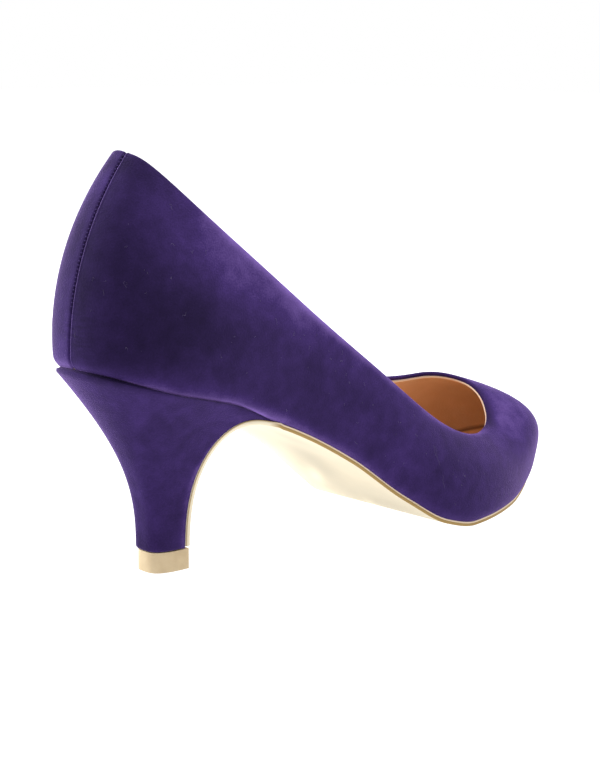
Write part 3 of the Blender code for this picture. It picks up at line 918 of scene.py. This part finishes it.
def loft_object(name, loops, material, attributes=()):
    """A closed solid through outlines of equal count, flat across its ends, with point attributes."""
    count = len(loops[0])
    faces = [list(range(count))[::-1]]
    for k in range(len(loops) - 1):
        for j in range(count):
            after = (j + 1) % count
            faces.append([k * count + j, k * count + after, (k + 1) * count + after, (k + 1) * count + j])
    last = (len(loops) - 1) * count
    for j in range(count // 2):
        corners = (last + j, last + j + 1, last + count - 2 - j, last + count - 1 - j)
        faces.append(list(dict.fromkeys(corners)))
    piece = make_object(name, np.vstack(loops), faces, material, attributes)
    work = bmesh.new()
    work.from_mesh(piece.data)
    bmesh.ops.recalc_face_normals(work, faces=work.faces)
    work.to_mesh(piece.data)
    work.free()
    return piece


def round_edges(piece, width):
    """Rounds the sharp edges of a piece."""
    bevel = piece.modifiers.new("round", "BEVEL")
    bevel.width = width
    bevel.segments = 3
    bevel.limit_method = "ANGLE"
    bevel.angle_limit = np.radians(50)


# Node trees

def add_node(tree, kind, values=(), links=(), **settings):
    """A node with its settings, socket values and incoming links."""
    made = tree.nodes.new(kind)
    for name, value in settings.items():
        setattr(made, name, value)
    for key, value in dict(values).items():
        made.inputs[key].default_value = value
    for key, socket in dict(links).items():
        tree.links.new(socket, made.inputs[key])
    return made


def math_node(tree, operation, first, second):
    """Result of a sum on two sockets or numbers."""
    made = tree.nodes.new("ShaderNodeMath")
    made.operation = operation
    for key, value in enumerate((first, second)):
        if isinstance(value, (int, float)):
            made.inputs[key].default_value = value
        else:
            tree.links.new(value, made.inputs[key])
    return made.outputs[0]


def mix_colours(tree, factor, first, second):
    """Colour between two colours or sockets."""
    made = tree.nodes.new("ShaderNodeMix")
    made.data_type = "RGBA"
    tree.links.new(factor, made.inputs[0])
    for key, value in ((6, first), (7, second)):
        if isinstance(value, bpy.types.NodeSocket):
            tree.links.new(value, made.inputs[key])
        else:
            made.inputs[key].default_value = value
    return made.outputs[2]


def ramp(tree, socket, low, high, first=0.0, last=1.0):
    """First below low, last above high, and straight between them."""
    values = {"From Min": low, "From Max": high, "To Min": first, "To Max": last}
    return add_node(tree, "ShaderNodeMapRange", values, {"Value": socket}).outputs[0]


def attribute(tree, name):
    """Value of a piece's own attribute."""
    return add_node(tree, "ShaderNodeAttribute", attribute_name=name).outputs["Fac"]


def effect_group(name, inputs, outputs):
    """An empty shader group with named float sockets, its inputs and its output node."""
    tree = bpy.data.node_groups.new(name, "ShaderNodeTree")
    for label, default in inputs.items():
        socket = tree.interface.new_socket(label, in_out="INPUT", socket_type="NodeSocketFloat")
        socket.default_value = default
    for label in outputs:
        tree.interface.new_socket(label, in_out="OUTPUT", socket_type="NodeSocketFloat")
    return tree, tree.nodes.new("NodeGroupInput").outputs, tree.nodes.new("NodeGroupOutput").inputs


def sized_noise(tree, size, detail):
    """Noise on the piece's own coordinates, its features about as large as the size."""
    place = add_node(tree, "ShaderNodeTexCoord").outputs["Object"]
    scale = math_node(tree, "DIVIDE", 1.0, size)
    noise = add_node(tree, "ShaderNodeTexNoise", {"Detail": detail}, {"Vector": place, "Scale": scale})
    return noise.outputs[0]


def nap_group():
    """Cloudy nap: its tone in doublings of the colour, and the height of its fibres and wrinkles. The tone
    also carries the painted light and shade of the piece's nap attribute and of the wrinkle streaks.
    """
    name = "brushed_nap"
    if name in bpy.data.node_groups:
        return bpy.data.node_groups[name]
    inputs = {"Cloud Size": 0.016, "Mottle Size": 0.004, "Fibre Size": 0.0005, "Wrinkle Size": 0.0006}
    inputs |= {"Cloud": 1.3, "Mottle": 0.9, "Fibre": 0.8, "Wrinkle": 1.6}
    tree, given, result = effect_group(name, inputs, ("Tone", "Height"))
    # The nap attribute holds painted light and shade besides the nap's own tone
    tone = attribute(tree, "nap")
    for label, detail in (("Cloud", 2.0), ("Mottle", 3.0), ("Fibre", 2.0)):
        noise = sized_noise(tree, given[label + " Size"], detail)
        swing = math_node(tree, "SUBTRACT", noise, 0.5)
        tone = math_node(tree, "ADD", math_node(tree, "MULTIPLY", swing, given[label]), tone)
    place = add_node(tree, "ShaderNodeTexCoord").outputs["Object"]
    drawn = add_node(tree, "ShaderNodeVectorMath", {1: (0.12, 0.12, 1.0)}, {0: place}, operation="MULTIPLY")
    scale = math_node(tree, "DIVIDE", 1.0, given["Wrinkle Size"])
    links = {"Vector": drawn.outputs[0], "Scale": scale}
    streak = add_node(tree, "ShaderNodeTexNoise", {"Detail": 1.0}, links).outputs[0]
    # Wrinkle streaks: tone lighter where they stand higher, partly painted light and shade of the creases, as
    # well as their bump
    wrinkle = attribute(tree, "wrinkle")
    swing = math_node(tree, "MULTIPLY", math_node(tree, "SUBTRACT", streak, 0.5), wrinkle)
    tone = math_node(tree, "ADD", math_node(tree, "MULTIPLY", swing, given["Wrinkle"]), tone)
    tree.links.new(tone, result["Tone"])
    tree.links.new(math_node(tree, "ADD", noise, swing), result["Height"])
    return tree


def clouds_group():
    """Soft clouds and fine grain for smooth leather and rubber."""
    name = "clouded_grain"
    if name in bpy.data.node_groups:
        return bpy.data.node_groups[name]
    inputs = {"Cloud Size": 0.012, "Grain Size": 0.0006}
    tree, given, result = effect_group(name, inputs, ("Cloud", "Grain"))
    for label in ("Cloud", "Grain"):
        noise = sized_noise(tree, given[label + " Size"], 4.0)
        tree.links.new(ramp(tree, noise, 0.3, 0.7), result[label])
    return tree


def use_group(tree, group, values):
    """A group placed in a material with its own values."""
    made = tree.nodes.new("ShaderNodeGroup")
    made.node_tree = group
    for label, value in values.items():
        made.inputs[label].default_value = value
    return made.outputs


def toned(tree, tint, tone):
    """A colour, or the colour of a socket, made lighter or darker by a tone that counts its doublings."""
    values, links = {}, {"Scale": math_node(tree, "POWER", 2.0, tone)}
    if isinstance(tint, bpy.types.NodeSocket):
        links[0] = tint
    else:
        values[0] = tint[:3]
    return add_node(tree, "ShaderNodeVectorMath", values, links, operation="SCALE").outputs[0]


def new_material(name, values):
    """A material with its tree and its shader, whose even values are set on its sockets."""
    material = bpy.data.materials.new(name)
    material.use_nodes = True
    shader = material.node_tree.nodes["Principled BSDF"]
    for label, value in values.items():
        shader.inputs[label].default_value = value
    return material, material.node_tree, shader.inputs


def bump(tree, height, strength, distance):
    """Normal of a surface raised by a height."""
    values = {"Strength": strength, "Distance": distance}
    return add_node(tree, "ShaderNodeBump", values, {"Height": height}).outputs[0]


def suede_material():
    """Purple suede with a lilac sheen: its tone lighter and darker from its nap and from painted light and
    shade, turning pale at painted highlights and wear.
    """
    name = "purple_suede"
    if name in bpy.data.materials:
        return bpy.data.materials[name]
    colours = bpy.context.scene.pump_colours
    values = {
        "Roughness": 0.95,
        "Specular IOR Level": 0.1,
        "Sheen Weight": 0.7,
        "Sheen Roughness": 0.28,
        "Sheen Tint": colours.suede_sheen,
    }
    material, tree, shader = new_material(name, values)
    nap = use_group(tree, nap_group(), {})
    # Where the tone is highest, mostly at painted highlights, the colour turns pale
    lit_and_worn = math_node(tree, "MULTIPLY", ramp(tree, nap["Tone"], 0.6, 3.4), 0.6)
    dyed = toned(tree, colours.suede, nap["Tone"])
    tree.links.new(mix_colours(tree, lit_and_worn, dyed, colours.suede_highlight_and_wear), shader["Base Color"])
    tree.links.new(bump(tree, nap["Height"], 0.5, 0.0004), shader["Normal"])
    return material


def thread_material():
    """Dark sewing thread with a fine twist."""
    colours = bpy.context.scene.pump_colours
    values = {"Roughness": 0.9, "Specular IOR Level": 0.1, "Base Color": colours.thread}
    material, tree, shader = new_material("seam_thread", values)
    grain = use_group(tree, clouds_group(), {"Cloud Size": 0.0008, "Grain Size": 0.0001})
    tree.links.new(bump(tree, grain["Grain"], 0.5, 0.0001), shader["Normal"])
    return material


def lint_material():
    """Pale fibres, a little uneven."""
    colours = bpy.context.scene.pump_colours
    material, tree, shader = new_material("pale_lint", {"Roughness": 0.9})
    grain = use_group(tree, clouds_group(), {"Cloud Size": 0.003})
    tone = math_node(tree, "SUBTRACT", grain["Cloud"], 1.0)
    tree.links.new(toned(tree, colours.lint, tone), shader["Base Color"])
    return material


def lining_material():
    """Smooth tan leather with a fine grain and a pale cut edge; its shade attribute holds painted light and
    shade.
    """
    name = "tan_lining"
    if name in bpy.data.materials:
        return bpy.data.materials[name]
    colours = bpy.context.scene.pump_colours
    material, tree, shader = new_material(name, {"Specular IOR Level": 0.35})
    grain = use_group(tree, clouds_group(), {"Cloud Size": 0.018, "Grain Size": 0.0007})
    shade = attribute(tree, "shade")
    leather = toned(tree, mix_colours(tree, grain["Cloud"], colours.lining_deep, colours.lining), shade)
    cut = attribute(tree, "cut_edge")
    tree.links.new(mix_colours(tree, cut, leather, colours.lining_edge), shader["Base Color"])
    tree.links.new(ramp(tree, grain["Grain"], 0.0, 1.0, 0.5, 0.65), shader["Roughness"])
    tree.links.new(bump(tree, grain["Grain"], 0.15, 0.0002), shader["Normal"])
    return material


def sole_material():
    """Cream sole with soft clouds and the painted light, shade and reflections of its shade attribute, its
    trimmed edge tan with a painted highlight along the top.
    """
    colours = bpy.context.scene.pump_colours
    material, tree, shader = new_material("cream_sole", {"Specular IOR Level": 0.5})
    grain = use_group(tree, clouds_group(), {"Cloud Size": 0.02, "Grain Size": 0.0009})
    shade = attribute(tree, "shade")
    tone = math_node(tree, "ADD", shade, math_node(tree, "MULTIPLY", grain["Cloud"], -0.12))
    face = toned(tree, colours.sole, tone)
    level = attribute(tree, "rim")
    trim = attribute(tree, "trim")
    # Painted highlight along the top of the trimmed edge
    line = math_node(tree, "MULTIPLY", ramp(tree, level, 0.64, 0.72), trim)
    edge = mix_colours(tree, line, colours.sole_edge, colours.sole_edge_highlight)
    tanned = math_node(tree, "MAXIMUM", trim, ramp(tree, level, 0.65, 0.95))
    on_edge = math_node(tree, "MULTIPLY", ramp(tree, level, -0.2, 0.0), tanned)
    tree.links.new(mix_colours(tree, on_edge, face, edge), shader["Base Color"])
    tree.links.new(ramp(tree, on_edge, 0.0, 1.0, 0.5, 0.75), shader["Roughness"])
    tree.links.new(bump(tree, grain["Grain"], 0.08, 0.0002), shader["Normal"])
    return material


def lift_material():
    """Matt beige rubber, a little paler in clouds."""
    colours = bpy.context.scene.pump_colours
    material, tree, shader = new_material("beige_rubber", {"Specular IOR Level": 0.3, "Roughness": 0.6})
    grain = use_group(tree, clouds_group(), {"Cloud Size": 0.004, "Grain Size": 0.0004})
    tree.links.new(mix_colours(tree, grain["Cloud"], colours.lift, colours.lift_pale), shader["Base Color"])
    tree.links.new(bump(tree, grain["Grain"], 0.2, 0.0002), shader["Normal"])
    return material


def fibre_tubes(paths, radius):
    """Points and faces of thin three-sided tubes on the upper, along paths of station and rise."""
    count, length = paths.shape[:2]
    station, rise = paths.reshape(-1, 2).T
    nudge = 0.001

    def place(stations, rises):
        return wall(np.mod(stations, 1), np.clip(rises, 0.02, 0.98)[:, None])[:, 0]

    middle = place(station, rise)
    out = unit(np.cross(place(station + nudge, rise) - middle, place(station, rise + nudge) - middle))
    lines = middle.reshape(count, length, 3)
    ahead = unit(np.gradient(lines, axis=1)).reshape(-1, 3)
    beside = np.cross(ahead, out)
    turn = np.radians((90, 210, 330))
    rings = np.cos(turn)[:, None, None] * beside + (0.6 + np.sin(turn))[:, None, None] * out
    points = (middle + radius * rings).transpose(1, 0, 2).reshape(count, 3 * length, 3)
    start, corner = np.meshgrid(3 * np.arange(length - 1), np.arange(3), indexing="ij")
    after = (corner + 1) % 3
    corners = (start + corner, start + after, start + 3 + after, start + 3 + corner)
    quads = np.stack(corners, axis=-1).reshape(-1, 4)
    faces = (3 * length * np.arange(count)[:, None, None] + quads).reshape(-1, 4)
    return points.reshape(-1, 3), faces


def stitch_tree():
    """Stitches set across a path at an even pitch, as real meshes with their thread."""
    tree = bpy.data.node_groups.new("stitches_on_path", "GeometryNodeTree")
    sockets = {"Geometry": "NodeSocketGeometry"}
    sockets |= {label: "NodeSocketFloat" for label in ("Pitch", "Length", "Radius")}
    sockets["Thread"] = "NodeSocketMaterial"
    for label, kind in sockets.items():
        tree.interface.new_socket(label, in_out="INPUT", socket_type=kind)
    tree.interface.new_socket("Geometry", in_out="OUTPUT", socket_type="NodeSocketGeometry")
    given = tree.nodes.new("NodeGroupInput").outputs
    path = add_node(tree, "GeometryNodeMeshToCurve", links={"Mesh": given["Geometry"]})
    links = {"Curve": path.outputs[0], "Length": given["Pitch"]}
    marks = add_node(tree, "GeometryNodeCurveToPoints", links=links, mode="LENGTH")
    ball = add_node(tree, "GeometryNodeMeshUVSphere", {"Segments": 8, "Rings": 6, "Radius": 1.0})
    half = math_node(tree, "MULTIPLY", given["Length"], 0.5)
    size = add_node(tree, "ShaderNodeCombineXYZ", links={0: given["Radius"], 1: half, 2: given["Radius"]})
    links = {"Geometry": ball.outputs[0], "Scale": size.outputs[0]}
    stitch = add_node(tree, "GeometryNodeTransform", links=links)
    links = {"Points": marks.outputs[0], "Instance": stitch.outputs[0]}
    row = add_node(tree, "GeometryNodeInstanceOnPoints", links=links)
    real = add_node(tree, "GeometryNodeRealizeInstances", links={0: row.outputs[0]})
    links = {"Geometry": real.outputs[0], "Material": given["Thread"]}
    dressed = add_node(tree, "GeometryNodeSetMaterial", links=links)
    end = tree.nodes.new("NodeGroupOutput")
    tree.links.new(dressed.outputs[0], end.inputs[0])
    return tree


# Operators, one for each piece

class PUMP_OT_stage(bpy.types.Operator):
    """Camera at the shoe's heel and outer side, pale floor and soft light"""

    bl_idname = "pump.stage"
    bl_label = "Stage"

    def execute(self, context):
        settings = context.scene.pump_stage
        turn, dip, roll = settings.turn, settings.dip, settings.roll
        level = np.array([np.cos(turn), -np.sin(turn), 0])
        ahead = np.array([np.sin(turn) * np.cos(dip), np.cos(turn) * np.cos(dip), -np.sin(dip)])
        upward = np.cross(level, ahead)
        right = np.cos(roll) * level + np.sin(roll) * upward
        above = np.cos(roll) * upward - np.sin(roll) * level
        aim = AIM + SHIFT + settings.aside * right + settings.above * above
        camera = bpy.data.objects.new("camera", bpy.data.cameras.new("camera"))
        camera.data.lens = settings.lens
        camera.data.clip_start = 0.01
        context.scene.collection.objects.link(camera)
        turned = Matrix(np.column_stack([right, above, -ahead]).tolist())
        camera.matrix_world = Matrix.Translation(aim - settings.distance * ahead) @ turned.to_4x4()
        context.scene.camera = camera
        context.scene.view_settings.view_transform = "Standard"
        self.add_floor(context, settings.floor_size)
        self.add_world(context)
        self.add_lights(context)
        return {"FINISHED"}

    def add_floor(self, context, size):
        """A level white sheet on which the shoe stands."""
        mesh = bpy.data.meshes.new("floor")
        half = size / 2
        corners = [(-half, -half, 0), (half, -half, 0), (half, half, 0), (-half, half, 0)]
        mesh.from_pydata(corners, [], [(0, 1, 2, 3)])
        values = {"Base Color": (0.3, 0.3, 0.3, 1), "Roughness": 0.9, "Specular IOR Level": 0.0}
        values |= {"Emission Color": (1, 1, 1, 1), "Emission Strength": 1.0}
        mesh.materials.append(new_material("pale_floor", values)[0])
        floor = bpy.data.objects.new("floor", mesh)
        context.scene.collection.objects.link(floor)

    def add_world(self, context):
        """A white sky that lights the shoe softly."""
        world = bpy.data.worlds.new("studio")
        world.use_nodes = True
        tree = world.node_tree
        background = tree.nodes["Background"]
        background.inputs["Color"].default_value = (1, 1, 1, 1)
        seen = add_node(tree, "ShaderNodeLightPath").outputs["Is Camera Ray"]
        tree.links.new(ramp(tree, seen, 0.0, 1.0, SKY_STRENGTH, 1.0), background.inputs["Strength"])
        context.scene.world = world

    def add_lights(self, context):
        """Square windows that face the shoe."""
        for light in LIGHTS:
            lamp = bpy.data.lights.new(light.name, "AREA")
            lamp.size = light.size
            lamp.energy = light.power
            holder = bpy.data.objects.new(light.name, lamp)
            holder.location = light.place
            holder.rotation_euler = (-Vector(light.place)).to_track_quat("-Z", "Y").to_euler()
            context.scene.collection.objects.link(holder)


class PUMP_OT_upper(bpy.types.Operator):
    """Suede upper with its back seam, folded collar and rolled lower edge"""

    bl_idname = "pump.upper"
    bl_label = "Suede upper"

    def execute(self, context):
        sizes = context.scene.pump_sizes
        low = np.linspace(0, 1.5 * EDGE_ROLL, FOOT_ROWS)
        high = np.linspace(sizes.facing, sizes.collar_roll - sizes.fold_rise, COLLAR_ROWS)
        stations = seam_stations(WALL_STATIONS)
        points, climb, below = formed_wall(stations, low, WALL_ROWS, high)
        # The nap tone holds painted light, highlights, shade and shadows as well as the nap's own strokes
        nap = upper_nap_light_and_shade(points, climb, below, column(THROAT_FOLD_SHADE, stations))
        wrinkle = wrinkles(points, climb)
        normals, _ = grid_normals(points)
        points = points + seam_relief(points)[..., None] * normals
        normals, rising = grid_normals(points)
        edge, out, up = points[:, -1:], normals[:, -1:], rising[:, -1:]
        turn = np.linspace(0, np.pi, FOLD_ROWS)[1:-1, None]
        fold = edge - sizes.collar_roll * out
        fold = fold + sizes.collar_roll * (np.cos(turn) * out + np.sin(turn) * up)
        facing = (points - 2 * sizes.collar_roll * normals)[:, : -COLLAR_ROWS - 1 : -1]
        hidden = (points - sizes.suede * normals)[:, -COLLAR_ROWS - 2 :: -HIDDEN_STEP]
        loops = np.concatenate([points, fold, facing, hidden], axis=1)
        turned_in = np.repeat(nap[:, -1:], loops.shape[1] - nap.shape[1], axis=1)
        tones = {
            "nap": np.concatenate([nap, turned_in], axis=1),
            "wrinkle": np.concatenate([wrinkle, np.zeros(turned_in.shape)], axis=1),
        }
        faces = loop_faces(*loops.shape[:2])
        piece = make_object("suede_upper", loops.reshape(-1, 3), faces, suede_material(), tones)
        settle(piece, "suede", "upper")
        return {"FINISHED"}


class PUMP_OT_lining(bpy.types.Operator):
    """Leather lining inside the upper, with its pale cut edge below the collar"""

    bl_idname = "pump.lining"
    bl_label = "Lining"

    def execute(self, context):
        sizes = context.scene.pump_sizes
        low = np.linspace(0.6 * EDGE_ROLL, 2 * EDGE_ROLL, LINING_FOOT_ROWS)
        stations = np.arange(LINING_STATIONS) / LINING_STATIONS
        step = sizes.lining_step * column(LINING_DROP, stations)
        front = column(PROUD_EDGE, stations)
        edge = step + sizes.cut_edge * (1 + 2 * front)
        high = np.hstack([edge + 2 * sizes.facing, 1.1 * edge, edge, step])
        points, climb, _ = formed_wall(stations, low, WALL_ROWS, high)
        normals, rising = grid_normals(points)
        back = (points - 1.1 * sizes.suede * normals)[:, ::-HIDDEN_STEP][:, ::-1]
        face = (points - (2 * sizes.collar_roll + sizes.lining) * normals)[:, ::-1]
        proud = 0.5 + 0.7 * front[..., None]
        lip = face[:, :1] + sizes.lining * (normals[:, -1:] + proud * rising[:, -1:])
        loops = np.concatenate([back, lip, face], axis=1)
        cut = np.zeros(loops.shape[:2])
        cut[:, back.shape[1] - 1 : back.shape[1] + 3] = 1
        shade = np.zeros(loops.shape[:2])
        # Painted light and shade of the lining, painted shadow at its join with the insole, and the painted
        # join shadow in the toe
        tone = lining_shade(points) + join_shade(climb - EDGE_ROLL) + toe_join_shadow(stations, climb)
        shade[:, -climb.shape[1] :] = tone[:, ::-1]
        tones = {"cut_edge": cut, "shade": shade}
        faces = loop_faces(*loops.shape[:2])
        piece = make_object("lining", loops.reshape(-1, 3), faces, lining_material(), tones)
        settle(piece, "lining")
        return {"FINISHED"}


class PUMP_OT_back_seam(bpy.types.Operator):
    """Stitches that show in the groove of the back seam"""

    bl_idname = "pump.back_seam"
    bl_label = "Back seam stitches"

    def execute(self, context):
        sizes = context.scene.pump_sizes
        low = np.linspace(*STITCH_FOOT, 3)
        high = np.linspace(*STITCH_TOP, 3)
        points, _, _ = formed_wall(seam_stations(WALL_STATIONS), low, WALL_ROWS, high)
        normals, _ = grid_normals(points)
        path = points[0] - STITCH_SINK * sizes.seam_depth * normals[0] + SHIFT
        mesh = bpy.data.meshes.new("back_seam_stitches")
        mesh.from_pydata(path.tolist(), [(k, k + 1) for k in range(len(path) - 1)], [])
        piece = bpy.data.objects.new("back_seam_stitches", mesh)
        context.scene.collection.objects.link(piece)
        tree = stitch_tree()
        maker = piece.modifiers.new("stitches", "NODES")
        maker.node_group = tree
        values = {
            "Pitch": sizes.stitch_pitch,
            "Length": sizes.stitch_length,
            "Radius": sizes.thread,
            "Thread": thread_material(),
        }
        for item in tree.interface.items_tree:
            if item.in_out == "INPUT" and item.name in values:
                maker[item.identifier] = values[item.name]
        settle(piece, "suede")
        piece.data.shade_smooth()
        return {"FINISHED"}


class PUMP_OT_lint(bpy.types.Operator):
    """Loose pale fibres that lie on the nap of the upper"""

    bl_idname = "pump.lint"
    bl_label = "Lint"

    def execute(self, context):
        chance = np.random.default_rng(LINT_SEED)
        start = np.column_stack([chance.random(LINT_COUNT), chance.uniform(*LINT_RISE, LINT_COUNT)])
        sway = chance.normal(0, 1, (LINT_COUNT, LINT_POINTS, 2)) * LINT_STRAY
        reach = chance.uniform(*LINT_REACH, (LINT_COUNT, 1, 1))
        paths = [start[:, None] + np.cumsum(sway, axis=1) * reach]
        share = np.linspace(0, 1, LINT_POINTS)
        for scuff in SCUFFS:
            station = scuff.station + SCUFF_WAVE * np.sin(SCUFF_TURN * share + scuff.rise)
            rise = scuff.rise + scuff.climb * share
            paths.append(np.column_stack([station, rise])[None])
        points, faces = fibre_tubes(np.concatenate(paths), context.scene.pump_sizes.lint)
        piece = make_object("lint", points, faces, lint_material())
        settle(piece, "suede")
        return {"FINISHED"}


class PUMP_OT_insole(bpy.types.Operator):
    """Leather sock on which the foot stands"""

    bl_idname = "pump.insole"
    bl_label = "Insole"

    def execute(self, context):
        top = insole_top(GAP)
        across = top[..., ACROSS]
        aside = np.minimum(across - across[:, :1], across[:, -1:] - across)
        # Painted light and shade of the lining and painted shadow at the join, on the insole's darker colour
        tones = {"shade": lining_shade(top) + join_shade(aside) + INSOLE_TONE}
        thickness = SOCK_SHARE * INSOLE_THICKNESS
        leather = lining_material()
        piece = sheet_object("insole_sock", top, thickness, INSOLE_RIM_STEPS, INSOLE_BULGE, leather, tones)
        settle(piece, "lining", "insole")
        return {"FINISHED"}


class PUMP_OT_sole(bpy.types.Operator):
    """Thin sole with its waist and the flap up the front of the heel"""

    bl_idname = "pump.sole"
    bl_label = "Sole"

    def execute(self, context):
        sizes = context.scene.pump_sizes
        top = sole_top()
        # The shade attribute holds painted shade, painted light and painted reflections
        tones = {"shade": stroke_tone(top, SOLE_STROKES, ACROSS), "trim": top[..., 0] > TRIM_START}
        cream = sole_material()
        piece = sheet_object("sole", top, SOLE_THICKNESS, SOLE_RIM_STEPS, sizes.sole_bulge, cream, tones)
        settle(piece, "sole", "outsole")
        return {"FINISHED"}


class PUMP_OT_heel(bpy.types.Operator):
    """Curved heel covered in the upper's suede"""

    bl_idname = "pump.heel"
    bl_label = "Suede heel"

    def execute(self, context):
        # The nap tone holds painted shadow under the rim, painted highlights at the front corners and painted
        # shade in the groove
        loops, nap = covered_heel()
        piece = loft_object("suede_heel", loops, suede_material(), {"nap": nap})
        round_edges(piece, context.scene.pump_sizes.cover_round)
        settle(piece, "suede", "heel")
        return {"FINISHED"}


class PUMP_OT_lift(bpy.types.Operator):
    """Rubber lift under the heel"""

    bl_idname = "pump.lift"
    bl_label = "Lift"

    def execute(self, context):
        outline = heel_base(LIFT_FRONT, LIFT_LENGTH, LIFT_WIDTH)
        loops = [np.column_stack([outline, np.full(len(outline), up)]) for up in (0, LIFT_HEIGHT - GAP)]
        piece = loft_object("lift", loops, lift_material())
        round_edges(piece, context.scene.pump_sizes.lift_round)
        settle(piece, "lift", "top_lift")
        return {"FINISHED"}


class PUMP_PT_panel(bpy.types.Panel):
    """Pieces of the shoe and their settings"""

    bl_idname = "PUMP_PT_panel"
    bl_label = "Pump shoe"
    bl_space_type = "VIEW_3D"
    bl_region_type = "UI"
    bl_category = "Pump shoe"

    def draw(self, context):
        for operator in OPERATORS:
            self.layout.operator(operator.bl_idname)
        for group in (context.scene.pump_sizes, context.scene.pump_colours, context.scene.pump_stage):
            box = self.layout.box()
            for label in group.__annotations__:
                box.prop(group, label)


OPERATORS = (
    PUMP_OT_stage,
    PUMP_OT_upper,
    PUMP_OT_lining,
    PUMP_OT_back_seam,
    PUMP_OT_lint,
    PUMP_OT_insole,
    PUMP_OT_sole,
    PUMP_OT_heel,
    PUMP_OT_lift,
)
GROUPS = {"pump_sizes": ShoeSizes, "pump_colours": ShoeColours, "pump_stage": StageSettings}


def register():
    """Makes the settings, operators and panel known."""
    for item in (*GROUPS.values(), *OPERATORS, PUMP_PT_panel):
        bpy.utils.register_class(item)
    for name, group in GROUPS.items():
        setattr(bpy.types.Scene, name, PointerProperty(type=group))


def unregister():
    """Takes them away again."""
    for name in GROUPS:
        delattr(bpy.types.Scene, name)
    for item in (PUMP_PT_panel, *reversed(OPERATORS), *GROUPS.values()):
        bpy.utils.unregister_class(item)


def main():
    """Makes the stage and every piece."""
    register()
    bpy.ops.pump.stage()
    bpy.ops.pump.upper()
    bpy.ops.pump.lining()
    bpy.ops.pump.back_seam()
    bpy.ops.pump.lint()
    bpy.ops.pump.insole()
    bpy.ops.pump.sole()
    bpy.ops.pump.heel()
    bpy.ops.pump.lift()


if __name__ == "__main__":
    main()
